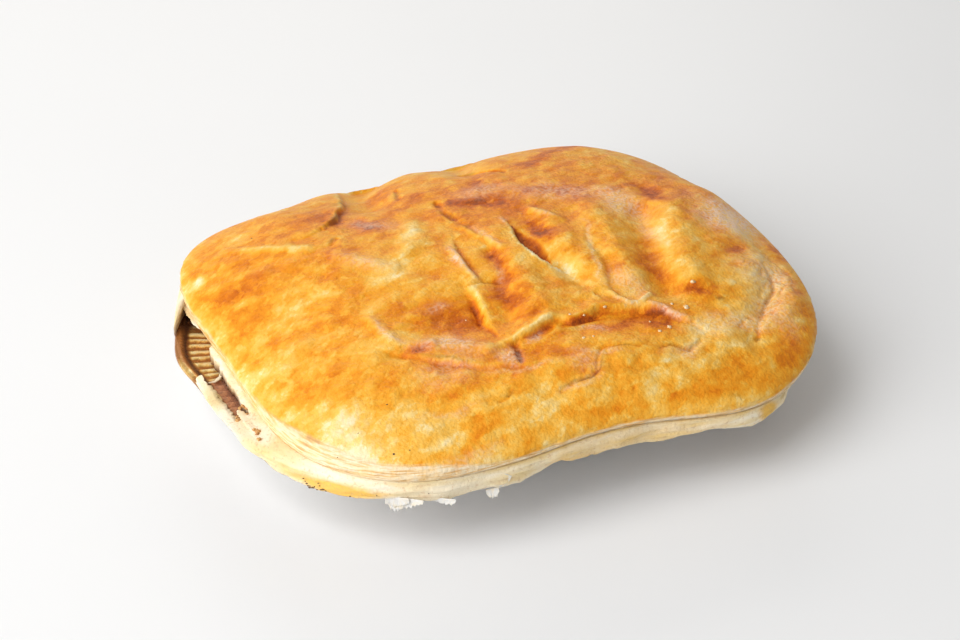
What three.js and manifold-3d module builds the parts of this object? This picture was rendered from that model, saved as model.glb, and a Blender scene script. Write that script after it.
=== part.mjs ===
import * as THREE from 'three';
import { mergeVertices } from 'three/addons/utils/BufferGeometryUtils.js';
import Module from 'manifold-3d';

// A baked chicken and ham pie in its own foil tray: a puffed pastry lid on a pastry base that
// folds over the rolled rim of a fluted tray with a ledge. Millimetres, +Z up, +X along the pie.
// The origin is the centre of the tray's base, on the table.

// Foil tray
const TRAY_LENGTH = 167; // over the rolled rim
const TRAY_WIDTH = 135;
const TRAY_SQUARENESS = 2.7; // exponent of the superellipse in plan
const TRAY_BASE_LENGTH = 120;
const TRAY_BASE_WIDTH = 92;
const RIM_TOP = 21.6;
const BEAD_WIDTH = 3; // the rolled rim, from its outer edge to the crease inside it
const BEAD_HEIGHT = 2.2;
const BEAD_PEAK = 1.1; // from the bead's outer edge to its top
const CREASE_DEPTH = 0.9; // of the crease inside the bead, below its top
const LEDGE_WIDTH = 8; // the fluted ledge between that crease and the wall
const LEDGE_DROP = 1.2; // its fall from the crease to the wall
const FOIL = 0.7;
const FLUTES = 170;
const FLUTE_DEPTH = 0.9; // on the wall
const LEDGE_FLUTE_DEPTH = 0.6;
const RIM_BEND = { at: 170, by: 1.9, width: 7 }; // the bare rim is bent out here, in degrees and mm

// Pastry lid
const LID_LENGTH = 164;
const LID_WIDTH = 138.6;
const LID_SQUARENESS = 3.5;
const LID_SHIFT = new THREE.Vector2(5.6, 0.5); // it baked a little off the tray's centre
const LID_EDGE = 2.4; // the cut edge all round
const LID_CROWN = 12.6; // rise of the dome above that edge
const CROWN_FULLNESS = 3; // higher is flatter on top
const FRONT_SHOULDER = 0.68; // lower is steeper at the edge
const BACK_SHOULDER = 0.9;
const SEAM_HEIGHT = 24.5; // where the lid meets the pastry below it
const SWELL_WIDTH = 20; // degrees, of a swell that gives no width of its own
const HUMP_REACH = 8; // how late the humps of the back edge start on the way out to it

// Pastry base, with the band that folds over the rim
const CLEARANCE = 0.3; // air between pastry, foil and lid
const BAND_OVER_LID = 0.5; // how far the band stands out past the lid along the front, at least
const BAND_UNDER_LID = 2.5; // how far it is tucked under the lid elsewhere
const BAND_FRONT = -107; // degrees, the middle of the stretch where it stands out
const BAND_FRONT_SPREAD = [51, 57]; // degrees from that middle where it starts and ends to tuck in
const BAND_OVER_RIM = 1.0; // how far it stands out past the tray's rim
const BASE_OVER_BEAD = 0.45; // air between the pastry and the rolled rim
const BAND_ROUNDING = 0.5; // the band's upper and lower edges, inside its belly
const BAND_DROP = 5.9; // from the seam to the band's torn lower edge
const BAND_DROP_AT_TEAR = 3.2; // the same at the torn left end
const TEAR_HEADING = 180; // degrees, the left end
const TEAR_SPREAD = 26; // degrees round the left end over which the band is short
const TEAR_BOTTOM = 15; // the tear is cut to below the tray's ledge

// Mesh steps
const LID_COLUMNS = 50;
const LID_ROWS = 42;
const BASE_STEPS = 96;
const TRAY_STEPS = 2 * FLUTES;
const OUTLINE_ERROR = 1e-6; // of an outline measured from another centre

// Where the lid's edge swells out past its plain outline, and where it lifts or droops: headings
// in degrees, millimetres and, if not the usual one, the width in degrees
const EDGE_SWELLS = [
  { at: 155, by: 1.5 },
  { at: 180, by: -1.5 },
  { at: -128, by: 1.5, width: 12 },
  { at: -110, by: 0.7, width: 8 },
  { at: -90, by: 0.2 },
  { at: -64, by: 1.6, width: 11 },
  { at: -57, by: 7.0 },
  { at: -25, by: -0.8 },
  { at: 0, by: 1.6 },
  { at: 30, by: -2.6 },
  { at: 60, by: -1.7 },
  { at: 90, by: -1.9 },
];
const EDGE_LIFTS = [
  { at: 155, by: 2.4 },
  { at: -120, by: -1.0 },
  { at: -90, by: 0.7 },
  { at: -57, by: -2.0 },
  { at: -25, by: 1.2 },
  { at: 30, by: -0.9 },
  { at: 60, by: -0.9 },
  { at: 90, by: -1.1 },
  { at: 120, by: -1.2 },
];
const BACK_HUMPS = [
  { at: 122, by: -0.9, width: 7 },
  { at: 110, by: 1.0, width: 6 },
  { at: 99.5, by: -1.6, width: 4.5 },
  { at: 87.5, by: 1.7, width: 6 },
  { at: 73.5, by: -1.4, width: 4.5 },
  { at: 50, by: 0.9, width: 14 },
  { at: 15, by: -1.4, width: 7 },
];

// Where the band stands out further past the lid, and where it hangs lower, or less low
const BAND_SWELLS = [
  { at: -152, by: 1.6, width: 16 },
  { at: -110, by: 0.8, width: 9 },
];
const BAND_SAGS = [
  { at: -163, by: -1.3, width: 8 },
  { at: -148, by: 2.4, width: 10 },
  { at: -103, by: -1.0, width: 12 },
  { at: -91, by: 1.0, width: 8 },
  { at: -71, by: -1.2, width: 8 },
];

// Steps in the crust, from the lid's centre: the ground left of the path's travel drops by depth
// and climbs back over reach, and a low lip stands along the other side
const STEPS = {
  firstSlash: {
    path: [[-8, 12], [-10.4, 2], [-10.2, -4], [-10, -10.5]],
    depth: 1.4,
    reach: 5,
  },
  firstSlashRibbon: {
    path: [[-15.4, -30], [-14.6, -24.5], [-13.6, -18.5], [-13.8, -12.5]],
    depth: 2.6,
    reach: 3.6,
  },
  secondSlash: {
    path: [[9.2, 15], [8.3, 3], [8.2, -4], [9.5, -9.5], [11.6, -13]],
    depth: 3.6,
    reach: 5.5,
  },
  secondSlashSlope: {
    path: [[11.5, -9], [12.5, -17], [15, -27]],
    depth: 3.0,
    reach: 5,
  },
  thirdSlash: {
    path: [[30, 5], [25.6, -8.6], [24.1, -17.4], [21.6, -27.2], [20.9, -33], [23, -36.6]],
    depth: 0.9,
    reach: 4.5,
  },
  frontFold: {
    path: [[36, -49], [31.5, -41], [24, -38], [14, -36.4], [6, -37.2], [0, -35.2], [-12, -38]],
    depth: 1.5,
    reach: 7,
  },
  frontLayer: {
    path: [[-14, -47.8], [-26, -44.1], [-32, -38.3], [-36.5, -35.5], [-44, -28.5]],
    depth: 1.0,
    reach: 5,
  },
  backScarp: {
    path: [[-21, 66], [-23, 55], [-28.5, 45], [-33.5, 37.5], [-37, 35], [-41, 40]],
    depth: 2.6,
    reach: 9,
  },
};
const LIP_HEIGHT = 0.35; // of the step's depth
const LIP_REACH = 3;
const STEP_BLEND = 1.6; // half width of the step's face
const PATH_END = 0.04; // share of a path over which its step keeps its least depth

// Long hollows pressed along a path, and ribs where the depth is negative
const CREASES = {
  backGroove: { path: [[-18, 46], [-15, 68]], depth: 3.0, width: 6 },
  backStep: { path: [[16, 52], [18, 68]], depth: 2.0, width: 5 },
  rightEndCrack: { path: [[77, -16], [72, -34], [60, -47], [50, -59]], depth: 1.8, width: 4 },
  fourthSlash: { path: [[49, 4], [41, -14], [38.5, -24], [36, -34]], depth: 2.2, width: 4.5 },
  firstValley: { path: [[-5, -13.5], [-7, -21], [-9.6, -29]], depth: 1.3, width: 2.8 },
  firstRib: { path: [[4.5, 8], [3.5, -8], [1, -27]], depth: -1.1, width: 4.5 },
  secondRib: { path: [[21, 10], [20, -10], [18.5, -27]], depth: -1.0, width: 4.2 },
  thirdRib: { path: [[36, 10], [32, -10], [29, -27]], depth: -1.2, width: 4.5 },
  fourthRib: { path: [[57, 4], [52, -14], [47, -30]], depth: -1.5, width: 6 },
  rightEndFold: { path: [[55, -55], [63, -54], [72, -46]], depth: -0.9, width: 3.4 },
};

// Round swells, and hollows where the height is negative
const BLISTERS = {
  leftDent: { at: [-23, -24], size: [12, 10], height: -2.2 },
  smallHollow: { at: [-41, -30], size: [4.5, 3], height: -1.2 },
  rightHump: { at: [63, 2], size: [13, 22], height: 1.6 },
  leftBlister: { at: [-45, 48], size: [14, 14], height: 1.2 },
  frontPillow: { at: [20, -58], size: [26, 9], height: 0.9 },
  rightEndRoll: { at: [77, 10], size: [10, 18], height: 3.6 },
};
const RELIEF_FADE = 16; // how late the relief dies away towards the lid's edge

// Unevenness of the band round the pie: waves in a turn, height and start
const BAND_LUMPS = [
  { waves: 11, by: 0.35, from: 1 },
  { waves: 29, by: 0.25, from: 2 },
];
const FOOT_RAGS = [
  { waves: 9, by: 0.6, from: 1 },
  { waves: 23, by: 0.5, from: 2 },
];
const SHOULDER_SLOPE = 0.1; // fall of the band's top, away from the seam

// The tear at the left end, as places from the origin. A sliver of pastry runs over the rim to its
// tip at the back, and a strip covers the rim forward of where it is bare
const SLIVER_TIP = new THREE.Vector2(-82, 25.2);
const SLIVER_ROOT = new THREE.Vector2(-73, 45);
const TEAR_BACK = 38;
const FRONT_STRIP_START = 2.4;
const FRONT_STRIP_BARES = 1.1; // how much of the rim, outside the crease, shows inside the strip
const FRONT_STRIP_LEAN = 1.0; // how far its torn side leans in
const TEAR_FRONT = -20;
const TEAR_PAST_RIM = 9; // how far the cut reaches out, clear of the band
const TEAR_UNDER_LID = 2.2; // how far it reaches in under the lid at its back
const LAYER_START = 11; // forward of here the layer under the lid shows past the lid's edge
const LAYER_OVER_LID = 1.4;
const TOOTH = { length: 2.4, depth: 1.2 }; // of the torn edges
const TEAR_SEED = 7;

// Flakes that hang from the band's lower edge along the front
const FLAKES = [
  { at: -133, width: 5.6, drop: 3.4, tilt: 0.3 },
  { at: -125.5, width: 3.6, drop: 2.2, tilt: -0.4 },
  { at: -117.5, width: 3.4, drop: 2.8, tilt: 0.5 },
];
const FLAKE_THICKNESS = 1.3;
const FLAKE_CORNERS = 7;
const FLAKE_RAGGEDNESS = [0.75, 1.25]; // of its plain outline
const FLAKE_SEED = 21;

// Finishes
const GILT_FOIL = { color: 0xc9a869, roughness: 0.35, metalness: 1.0 };
const PALE_PASTRY = { color: 0xf2e2bd, roughness: 0.75, metalness: 0.0 };
const GOLDEN_PASTRY = { color: 0xe6a342, roughness: 0.5, metalness: 0.0 };

const wasm = await Module();
wasm.setup();

// Numbers that look random but are the same each time
function seededRandom(seed) {
  let state = seed;
  return () => {
    state = (state * 16807) % 2147483647;
    return state / 2147483647;
  };
}

function superellipseLevel(x, y, halfLength, halfWidth, squareness) {
  return Math.abs(x / halfLength) ** squareness + Math.abs(y / halfWidth) ** squareness;
}

function superellipseRadius(angle, halfLength, halfWidth, squareness) {
  const level = superellipseLevel(Math.cos(angle), Math.sin(angle), halfLength, halfWidth, squareness);
  return level ** (-1 / squareness);
}

function degreesApart(angle, degrees) {
  const turn = THREE.MathUtils.radToDeg(angle) - degrees;
  return Math.abs(THREE.MathUtils.euclideanModulo(turn + 180, 360) - 180);
}

function sumOfBumps(angle, bumps) {
  return bumps.reduce((sum, { at, by, width = SWELL_WIDTH }) => {
    return sum + by * Math.exp(-((degreesApart(angle, at) / width) ** 2));
  }, 0);
}

function ripples(angle, waveList) {
  return waveList.reduce((sum, { waves, by, from }) => sum + by * Math.sin(waves * angle + from), 0);
}

function smoothLarger(a, b) {
  return (a + b + Math.hypot(a - b, 1)) / 2;
}

function lidRadius(angle) {
  const plain = superellipseRadius(angle, LID_LENGTH / 2, LID_WIDTH / 2, LID_SQUARENESS);
  return plain + sumOfBumps(angle, EDGE_SWELLS);
}

function seamHeight(angle) {
  return SEAM_HEIGHT + sumOfBumps(angle, EDGE_LIFTS);
}

// Distance from a path, with which side of its travel the point is on and how near its ends
function nearestOnPath(x, y, path) {
  let best = { distance: Infinity };
  for (let i = 0; i + 1 < path.length; i += 1) {
    const [ax, ay] = path[i];
    const [dx, dy] = [path[i + 1][0] - ax, path[i + 1][1] - ay];
    const length = Math.hypot(dx, dy);
    const free = ((x - ax) * dx + (y - ay) * dy) / length ** 2;
    const along = THREE.MathUtils.clamp(free, 0, 1);
    const distance = Math.hypot(x - ax - along * dx, y - ay - along * dy);
    const side = Math.sign(dx * (y - ay) - dy * (x - ax)) || 1;
    if (distance < best.distance) {
      best = { distance, side, share: (i + along) / (path.length - 1) };
    }
  }
  return best;
}

function fadeAtEnds(share) {
  return Math.sin(Math.PI * THREE.MathUtils.clamp(share, PATH_END, 1 - PATH_END)) ** 0.5;
}

function stepHeight(x, y, { path, depth, reach }) {
  const { distance, side, share } = nearestOnPath(x, y, path);
  const low = -Math.exp(-((distance / reach) ** 2));
  const high = LIP_HEIGHT * Math.exp(-((distance / LIP_REACH) ** 2));
  const mix = THREE.MathUtils.smoothstep(side * distance, -STEP_BLEND, STEP_BLEND);
  return depth * fadeAtEnds(share) * THREE.MathUtils.lerp(high, low, mix);
}

function creaseHeight(x, y, { path, depth, width }) {
  const { distance } = nearestOnPath(x, y, path);
  return -depth * Math.exp(-((distance / width) ** 2));
}

function blisterHeight(x, y, { at, size, height }) {
  return height * Math.exp(-(((x - at[0]) / size[0]) ** 2) - ((y - at[1]) / size[1]) ** 2);
}

function sumOver(features, heightOf) {
  return Object.values(features).reduce((sum, feature) => sum + heightOf(feature), 0);
}

function lidRelief(x, y) {
  const steps = sumOver(STEPS, (step) => stepHeight(x, y, step));
  const creases = sumOver(CREASES, (crease) => creaseHeight(x, y, crease));
  const blisters = sumOver(BLISTERS, (blister) => blisterHeight(x, y, blister));
  return steps + creases + blisters;
}

function lidTop(angle, share) {
  const radius = share * lidRadius(angle);
  const shoulder = THREE.MathUtils.lerp(FRONT_SHOULDER, BACK_SHOULDER, (1 + Math.sin(angle)) / 2);
  const dome = LID_CROWN * (1 - share ** CROWN_FULLNESS) ** shoulder;
  const fade = 1 - share ** RELIEF_FADE;
  const relief = lidRelief(radius * Math.cos(angle), radius * Math.sin(angle)) * fade;
  const edge = THREE.MathUtils.lerp(SEAM_HEIGHT, seamHeight(angle), share) + LID_EDGE;
  const humps = sumOfBumps(angle, BACK_HUMPS) * share ** HUMP_REACH;
  return edge + dome + relief + humps;
}

// A point at a distance from the lid's centre, in the part's frame
function aroundLid(angle, radius, z) {
  return new THREE.Vector3(
    LID_SHIFT.x + radius * Math.cos(angle),
    LID_SHIFT.y + radius * Math.sin(angle),
    z,
  );
}

// The tray's plan at a given inset from its outer edge, measured outwards from the lid's centre
function trayRadiusFromLid(angle, halfLength, halfWidth) {
  let inside = 0;
  let outside = halfLength + halfWidth;
  while (outside - inside > OUTLINE_ERROR) {
    const middle = (inside + outside) / 2;
    const point = aroundLid(angle, middle, 0);
    if (superellipseLevel(point.x, point.y, halfLength, halfWidth, TRAY_SQUARENESS) < 1) inside = middle;
    else outside = middle;
  }
  return inside;
}

function rimRadiusFromLid(angle, inset) {
  return trayRadiusFromLid(angle, TRAY_LENGTH / 2 - inset, TRAY_WIDTH / 2 - inset);
}

function geometryFrom(points, triangles) {
  const geometry = new THREE.BufferGeometry();
  geometry.setFromPoints(points);
  geometry.setIndex(triangles.flat());
  return geometry;
}

// A closed body from a stack of rings, each a list of points turning the same way, between two poles
function loft(firstPole, rings, lastPole) {
  const steps = rings[0].length;
  const points = [firstPole, ...rings.flat(), lastPole];
  const at = (ring, step) => 1 + ring * steps + (step % steps);
  const triangles = [];
  for (let step = 0; step < steps; step += 1) {
    triangles.push([0, at(0, step + 1), at(0, step)]);
    for (let ring = 0; ring + 1 < rings.length; ring += 1) {
      triangles.push([at(ring, step), at(ring, step + 1), at(ring + 1, step + 1)]);
      triangles.push([at(ring, step), at(ring + 1, step + 1), at(ring + 1, step)]);
    }
    triangles.push([points.length - 1, at(rings.length - 1, step), at(rings.length - 1, step + 1)]);
  }
  return geometryFrom(points, triangles);
}

function ringOf(steps, pointAt) {
  return Array.from({ length: steps }, (_, step) => pointAt((2 * Math.PI * step) / steps, step));
}

// The ledge's height at the wall, and how far the wall's inner side lies from its outer side
function ledgeEnd() {
  const inset = BEAD_WIDTH + LEDGE_WIDTH;
  const height = RIM_TOP - CREASE_DEPTH - LEDGE_DROP;
  const run = (TRAY_LENGTH - TRAY_BASE_LENGTH) / 2 - inset;
  const foilAcross = FOIL * Math.hypot(1, run / height);
  return { inset, height, foilAcross, cornerInset: foilAcross - (FOIL * run) / height };
}

// The tray: a flat base, a fluted wall that flares, a fluted ledge and a rolled bead round the top
function buildTray() {
  const baseLength = TRAY_BASE_LENGTH / 2;
  const baseWidth = TRAY_BASE_WIDTH / 2;
  const { inset, height, foilAcross, cornerInset } = ledgeEnd();
  const beadFoot = RIM_TOP - BEAD_HEIGHT;
  const onWall = { out: FLUTE_DEPTH / 2, up: 0, bend: 0 };
  const onLedge = { out: FLUTE_DEPTH / 2, up: LEDGE_FLUTE_DEPTH / 2, bend: 0 };
  const onBead = { out: 0, up: 0, bend: 1 };
  const rimRing = (rimInset, z, flute) => {
    return trayRing(TRAY_LENGTH / 2 - rimInset, TRAY_WIDTH / 2 - rimInset, z, flute);
  };
  const rings = [
    trayRing(baseLength, baseWidth, 0, onWall),
    rimRing(inset, height - FOIL, onLedge),
    rimRing(BEAD_WIDTH, beadFoot, onBead),
    rimRing(BEAD_PEAK, beadFoot, onBead),
    rimRing(0, RIM_TOP - BEAD_HEIGHT / 2, onBead),
    rimRing(BEAD_PEAK, RIM_TOP, onBead),
    rimRing(BEAD_WIDTH, RIM_TOP - CREASE_DEPTH, onBead),
    rimRing(inset + foilAcross, height, onLedge),
    trayRing(baseLength - cornerInset, baseWidth - cornerInset, FOIL, onWall),
  ];
  return loft(new THREE.Vector3(0, 0, 0), rings, new THREE.Vector3(0, 0, FOIL));
}

function rimBend(angle) {
  return RIM_BEND.by * Math.exp(-((degreesApart(angle, RIM_BEND.at) / RIM_BEND.width) ** 2));
}

// A ring of the tray, with flutes outwards and upwards and its share of the bent rim
function trayRing(halfLength, halfWidth, z, { out, up, bend }) {
  return ringOf(TRAY_STEPS, (angle, step) => {
    const flute = step % 2 === 0 ? 1 : -1;
    const plain = superellipseRadius(angle, halfLength, halfWidth, TRAY_SQUARENESS);
    const radius = plain + out * flute + bend * rimBend(angle);
    return new THREE.Vector3(radius * Math.cos(angle), radius * Math.sin(angle), z + up * flute);
  });
}

function bandRadius(angle) {
  const tucked = THREE.MathUtils.smoothstep(degreesApart(angle, BAND_FRONT), ...BAND_FRONT_SPREAD);
  const overLid = BAND_OVER_LID + sumOfBumps(angle, BAND_SWELLS);
  const pastLid = lidRadius(angle) + THREE.MathUtils.lerp(overLid, -BAND_UNDER_LID, tucked);
  const pastRim = rimRadiusFromLid(angle, -BAND_OVER_RIM);
  return smoothLarger(pastLid, pastRim) + ripples(angle, BAND_LUMPS);
}

function bandFoot(angle) {
  const torn = Math.exp(-((degreesApart(angle, TEAR_HEADING) / TEAR_SPREAD) ** 2));
  const ragged = ripples(angle, FOOT_RAGS) * (1 - torn);
  const drop = THREE.MathUtils.lerp(BAND_DROP, BAND_DROP_AT_TEAR, torn) + ragged;
  return seamHeight(angle) - drop - sumOfBumps(angle, BAND_SAGS);
}

// The top of the base, a shallow cone just under the lid
function underLid(angle, radius) {
  const share = radius / lidRadius(angle);
  return THREE.MathUtils.lerp(SEAM_HEIGHT, seamHeight(angle), share) - CLEARANCE;
}

// The band's upper edge slopes away from the seam
function bandShoulder(angle) {
  const slope = SHOULDER_SLOPE * (bandRadius(angle) - lidRadius(angle));
  return seamHeight(angle) - BAND_ROUNDING - CLEARANCE - Math.max(0, slope);
}

// The base fills the tray, lies on its ledge, climbs over the bead and hangs outside it as a band
function buildBaseBody() {
  const { inset, height, foilAcross, cornerInset } = ledgeEnd();
  const snug = FLUTE_DEPTH / 2 + CLEARANCE * Math.SQRT2;
  const overLedge = height + LEDGE_FLUTE_DEPTH / 2 + CLEARANCE;
  const floorInset = cornerInset + snug;
  const floorRadius = (angle) => {
    return trayRadiusFromLid(angle, TRAY_BASE_LENGTH / 2 - floorInset, TRAY_BASE_WIDTH / 2 - floorInset);
  };
  const rimAt = (rimInset) => (angle) => rimRadiusFromLid(angle, rimInset);
  const insideFoot = (angle) => Math.min(RIM_TOP - BASE_OVER_BEAD, bandFoot(angle) + BAND_ROUNDING);
  const foot = (angle) => bandRadius(angle) - BAND_ROUNDING;
  const top = (angle) => Math.min(lidRadius(angle), bandRadius(angle) - 2 * BAND_ROUNDING);
  const ring = (radiusAt, heightAt) => {
    return ringOf(BASE_STEPS, (angle) => aroundLid(angle, radiusAt(angle), heightAt(angle)));
  };
  const rings = [
    ring(floorRadius, () => FOIL + CLEARANCE),
    ring(rimAt(inset + foilAcross + snug), () => overLedge),
    ring(rimAt(BEAD_WIDTH + CLEARANCE), () => RIM_TOP - CREASE_DEPTH + BASE_OVER_BEAD),
    ring(rimAt(BEAD_PEAK), () => RIM_TOP + BASE_OVER_BEAD),
    ring(rimAt(-BASE_OVER_BEAD), () => RIM_TOP - CLEARANCE / 2),
    ring(rimAt(-BASE_OVER_BEAD), insideFoot),
    ring(foot, bandFoot),
    ring(bandRadius, (angle) => (bandFoot(angle) + bandShoulder(angle)) / 2),
    ring(foot, bandShoulder),
    ring(top, (angle) => underLid(angle, top(angle))),
  ];
  const bottom = aroundLid(0, 0, FOIL + CLEARANCE);
  return loft(bottom, rings, aroundLid(0, 0, SEAM_HEIGHT - CLEARANCE));
}

function toSolid(geometry) {
  const bare = geometry.index ? geometry.clone() : mergeVertices(positionsOnly(geometry));
  const mesh = new wasm.Mesh({
    numProp: 3,
    vertProperties: new Float32Array(bare.getAttribute('position').array),
    triVerts: new Uint32Array(bare.index.array),
  });
  return new wasm.Manifold(mesh);
}

function positionsOnly(geometry) {
  const bare = geometry.clone();
  bare.deleteAttribute('normal');
  bare.deleteAttribute('uv');
  return bare;
}

function fromSolid(solid) {
  const { vertProperties, triVerts } = solid.getMesh();
  const geometry = new THREE.BufferGeometry();
  geometry.setAttribute('position', new THREE.BufferAttribute(new Float32Array(vertProperties), 3));
  geometry.setIndex(Array.from(triVerts));
  return geometry;
}

function prism(outline, low, high) {
  const shape = new THREE.Shape(outline);
  const geometry = new THREE.ExtrudeGeometry(shape, { depth: high - low, bevelEnabled: false, steps: 1 });
  geometry.translate(0, 0, low);
  return mergeVertices(positionsOnly(geometry));
}

// Breaks a straight run into teeth, as torn pastry has
function tornEdge(from, to, random) {
  const teeth = Math.max(1, Math.round(from.distanceTo(to) / TOOTH.length));
  const across = new THREE.Vector2(to.y - from.y, from.x - to.x).normalize();
  return Array.from({ length: teeth }, (_, i) => {
    const jag = i === 0 ? 0 : TOOTH.depth * (random() - 0.5);
    return from.clone().lerp(to, i / teeth).addScaledVector(across, jag);
  });
}

// The tear at the left end: it bares the rim and the ledge at the back, and at the front leaves a
// strip over the rim and a layer that shows under the lid
function buildTear() {
  const random = seededRandom(TEAR_SEED);
  const outside = -TRAY_LENGTH / 2 - TEAR_PAST_RIM;
  const strip = -TRAY_LENGTH / 2 + BEAD_WIDTH - FRONT_STRIP_BARES;
  const lidEnd = LID_SHIFT.x - lidRadius(Math.PI);
  const underLid = lidEnd + TEAR_UNDER_LID;
  const pastLid = lidEnd - LAYER_OVER_LID;
  const torn = [
    new THREE.Vector2(outside, FRONT_STRIP_START),
    new THREE.Vector2(strip - FRONT_STRIP_LEAN / 2, FRONT_STRIP_START),
    new THREE.Vector2(strip + FRONT_STRIP_LEAN, TEAR_FRONT),
    new THREE.Vector2(pastLid, TEAR_FRONT),
    new THREE.Vector2(pastLid, LAYER_START),
    new THREE.Vector2(underLid, LAYER_START + TEAR_UNDER_LID),
    new THREE.Vector2(underLid, TEAR_BACK),
  ];
  const outline = torn.flatMap((corner, i) => {
    return i + 1 < torn.length ? tornEdge(corner, torn[i + 1], random) : [corner];
  });
  outline.push(SLIVER_TIP, SLIVER_ROOT, new THREE.Vector2(outside, SLIVER_ROOT.y));
  return prism(outline, TEAR_BOTTOM, SEAM_HEIGHT + LID_EDGE);
}

function buildFlake({ at, width, drop, tilt }, random) {
  const outline = Array.from({ length: FLAKE_CORNERS }, (_, i) => {
    const turn = (2 * Math.PI * i) / FLAKE_CORNERS;
    const reach = 0.5 * THREE.MathUtils.lerp(...FLAKE_RAGGEDNESS, random());
    return new THREE.Vector2(width * reach * Math.cos(turn), drop * reach * Math.sin(turn));
  });
  const geometry = prism(outline, -FLAKE_THICKNESS / 2, FLAKE_THICKNESS / 2);
  const angle = THREE.MathUtils.degToRad(at);
  geometry.rotateX(Math.PI / 2);
  geometry.rotateY(tilt);
  geometry.rotateZ(angle + Math.PI / 2);
  const hang = aroundLid(angle, bandRadius(angle) - BAND_ROUNDING - FLAKE_THICKNESS / 2, bandFoot(angle));
  return geometry.translate(hang.x, hang.y, hang.z);
}

function buildBase() {
  const random = seededRandom(FLAKE_SEED);
  let solid = toSolid(buildBaseBody()).subtract(toSolid(buildTear()));
  for (const flake of FLAKES) {
    solid = solid.add(toSolid(buildFlake(flake, random)));
  }
  return fromSolid(solid);
}

// The lid: a square grid bent to its outline, so that the crust's relief is evenly sampled, with a
// cut edge and a shallow cone below
function buildLid() {
  const grid = new THREE.PlaneGeometry(2, 2, LID_COLUMNS, LID_ROWS).getAttribute('position');
  const points = [];
  for (let i = 0; i < grid.count; i += 1) {
    const [u, v] = [grid.getX(i), grid.getY(i)];
    const share = Math.max(Math.abs(u), Math.abs(v));
    const angle = Math.atan2(v * LID_WIDTH, u * LID_LENGTH);
    points.push(aroundLid(angle, share * lidRadius(angle), lidTop(angle, share)));
  }
  const triangles = lidTopTriangles();
  const border = lidBorder();
  const firstLow = points.length;
  for (const index of border) {
    const angle = Math.atan2(points[index].y - LID_SHIFT.y, points[index].x - LID_SHIFT.x);
    points.push(aroundLid(angle, lidRadius(angle), seamHeight(angle)));
  }
  const pole = points.length;
  points.push(aroundLid(0, 0, SEAM_HEIGHT));
  border.forEach((top, i) => {
    const next = (i + 1) % border.length;
    triangles.push([top, firstLow + i, firstLow + next]);
    triangles.push([top, firstLow + next, border[next]]);
    triangles.push([pole, firstLow + next, firstLow + i]);
  });
  return geometryFrom(points, triangles);
}

// Two triangles for each cell of the grid, split along the diagonal that points to the lid's centre
function lidTopTriangles() {
  const across = LID_COLUMNS + 1;
  const triangles = [];
  for (let row = 0; row < LID_ROWS; row += 1) {
    for (let column = 0; column < LID_COLUMNS; column += 1) {
      const backLeft = row * across + column;
      const [backRight, frontLeft, frontRight] = [backLeft + 1, backLeft + across, backLeft + across + 1];
      const towardsCentre = row < LID_ROWS / 2 === column < LID_COLUMNS / 2;
      if (towardsCentre) {
        triangles.push([backLeft, frontLeft, frontRight], [backLeft, frontRight, backRight]);
      } else {
        triangles.push([backLeft, frontLeft, backRight], [frontLeft, frontRight, backRight]);
      }
    }
  }
  return triangles;
}

// The grid's border points in order, anticlockwise seen from above
function lidBorder() {
  const across = LID_COLUMNS + 1;
  const last = across * (LID_ROWS + 1) - 1;
  const border = [];
  for (let i = 0; i < LID_COLUMNS; i += 1) border.push(last - LID_COLUMNS + i);
  for (let i = 0; i < LID_ROWS; i += 1) border.push(last - i * across);
  for (let i = 0; i < LID_COLUMNS; i += 1) border.push(LID_COLUMNS - i);
  for (let i = 0; i < LID_ROWS; i += 1) border.push(i * across);
  return border;
}

function addPiece(group, name, geometry, finish) {
  geometry.computeVertexNormals();
  const mesh = new THREE.Mesh(geometry, new THREE.MeshStandardMaterial(finish));
  mesh.name = name;
  group.add(mesh);
}

const pie = new THREE.Group();
pie.name = 'chicken_and_ham_pie';
addPiece(pie, 'foil_tray', buildTray(), GILT_FOIL);
addPiece(pie, 'pastry_base', buildBase(), PALE_PASTRY);
addPiece(pie, 'pastry_lid', buildLid(), GOLDEN_PASTRY);

export default pie;
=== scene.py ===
"""A baked chicken and ham pie in its own foil tray: glazed lid, torn pastry band, fluted foil."""

import logging
import math
from dataclasses import dataclass
from enum import Enum

import bpy
import numpy as np
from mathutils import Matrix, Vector


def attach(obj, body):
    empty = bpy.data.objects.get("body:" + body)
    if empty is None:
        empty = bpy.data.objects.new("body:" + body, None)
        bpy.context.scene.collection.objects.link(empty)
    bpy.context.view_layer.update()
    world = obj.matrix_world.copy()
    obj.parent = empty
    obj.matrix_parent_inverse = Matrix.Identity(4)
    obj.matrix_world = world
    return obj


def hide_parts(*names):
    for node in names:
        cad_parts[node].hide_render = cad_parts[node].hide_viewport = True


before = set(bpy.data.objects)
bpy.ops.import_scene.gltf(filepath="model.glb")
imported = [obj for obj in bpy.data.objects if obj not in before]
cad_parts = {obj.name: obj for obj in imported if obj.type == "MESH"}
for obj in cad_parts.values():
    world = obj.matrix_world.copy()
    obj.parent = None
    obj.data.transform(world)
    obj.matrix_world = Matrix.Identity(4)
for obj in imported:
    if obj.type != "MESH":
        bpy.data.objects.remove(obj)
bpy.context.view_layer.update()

MM = 0.001
BODY = "root"
# How sharply a soft patch ends
PATCH_EDGE = 1.4
# The part of the seam under a painted brown shadow line: its middle and half its length, in degrees
SHADED_SEAM = (-86, 34)
LOG = logging.getLogger("pie")

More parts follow.
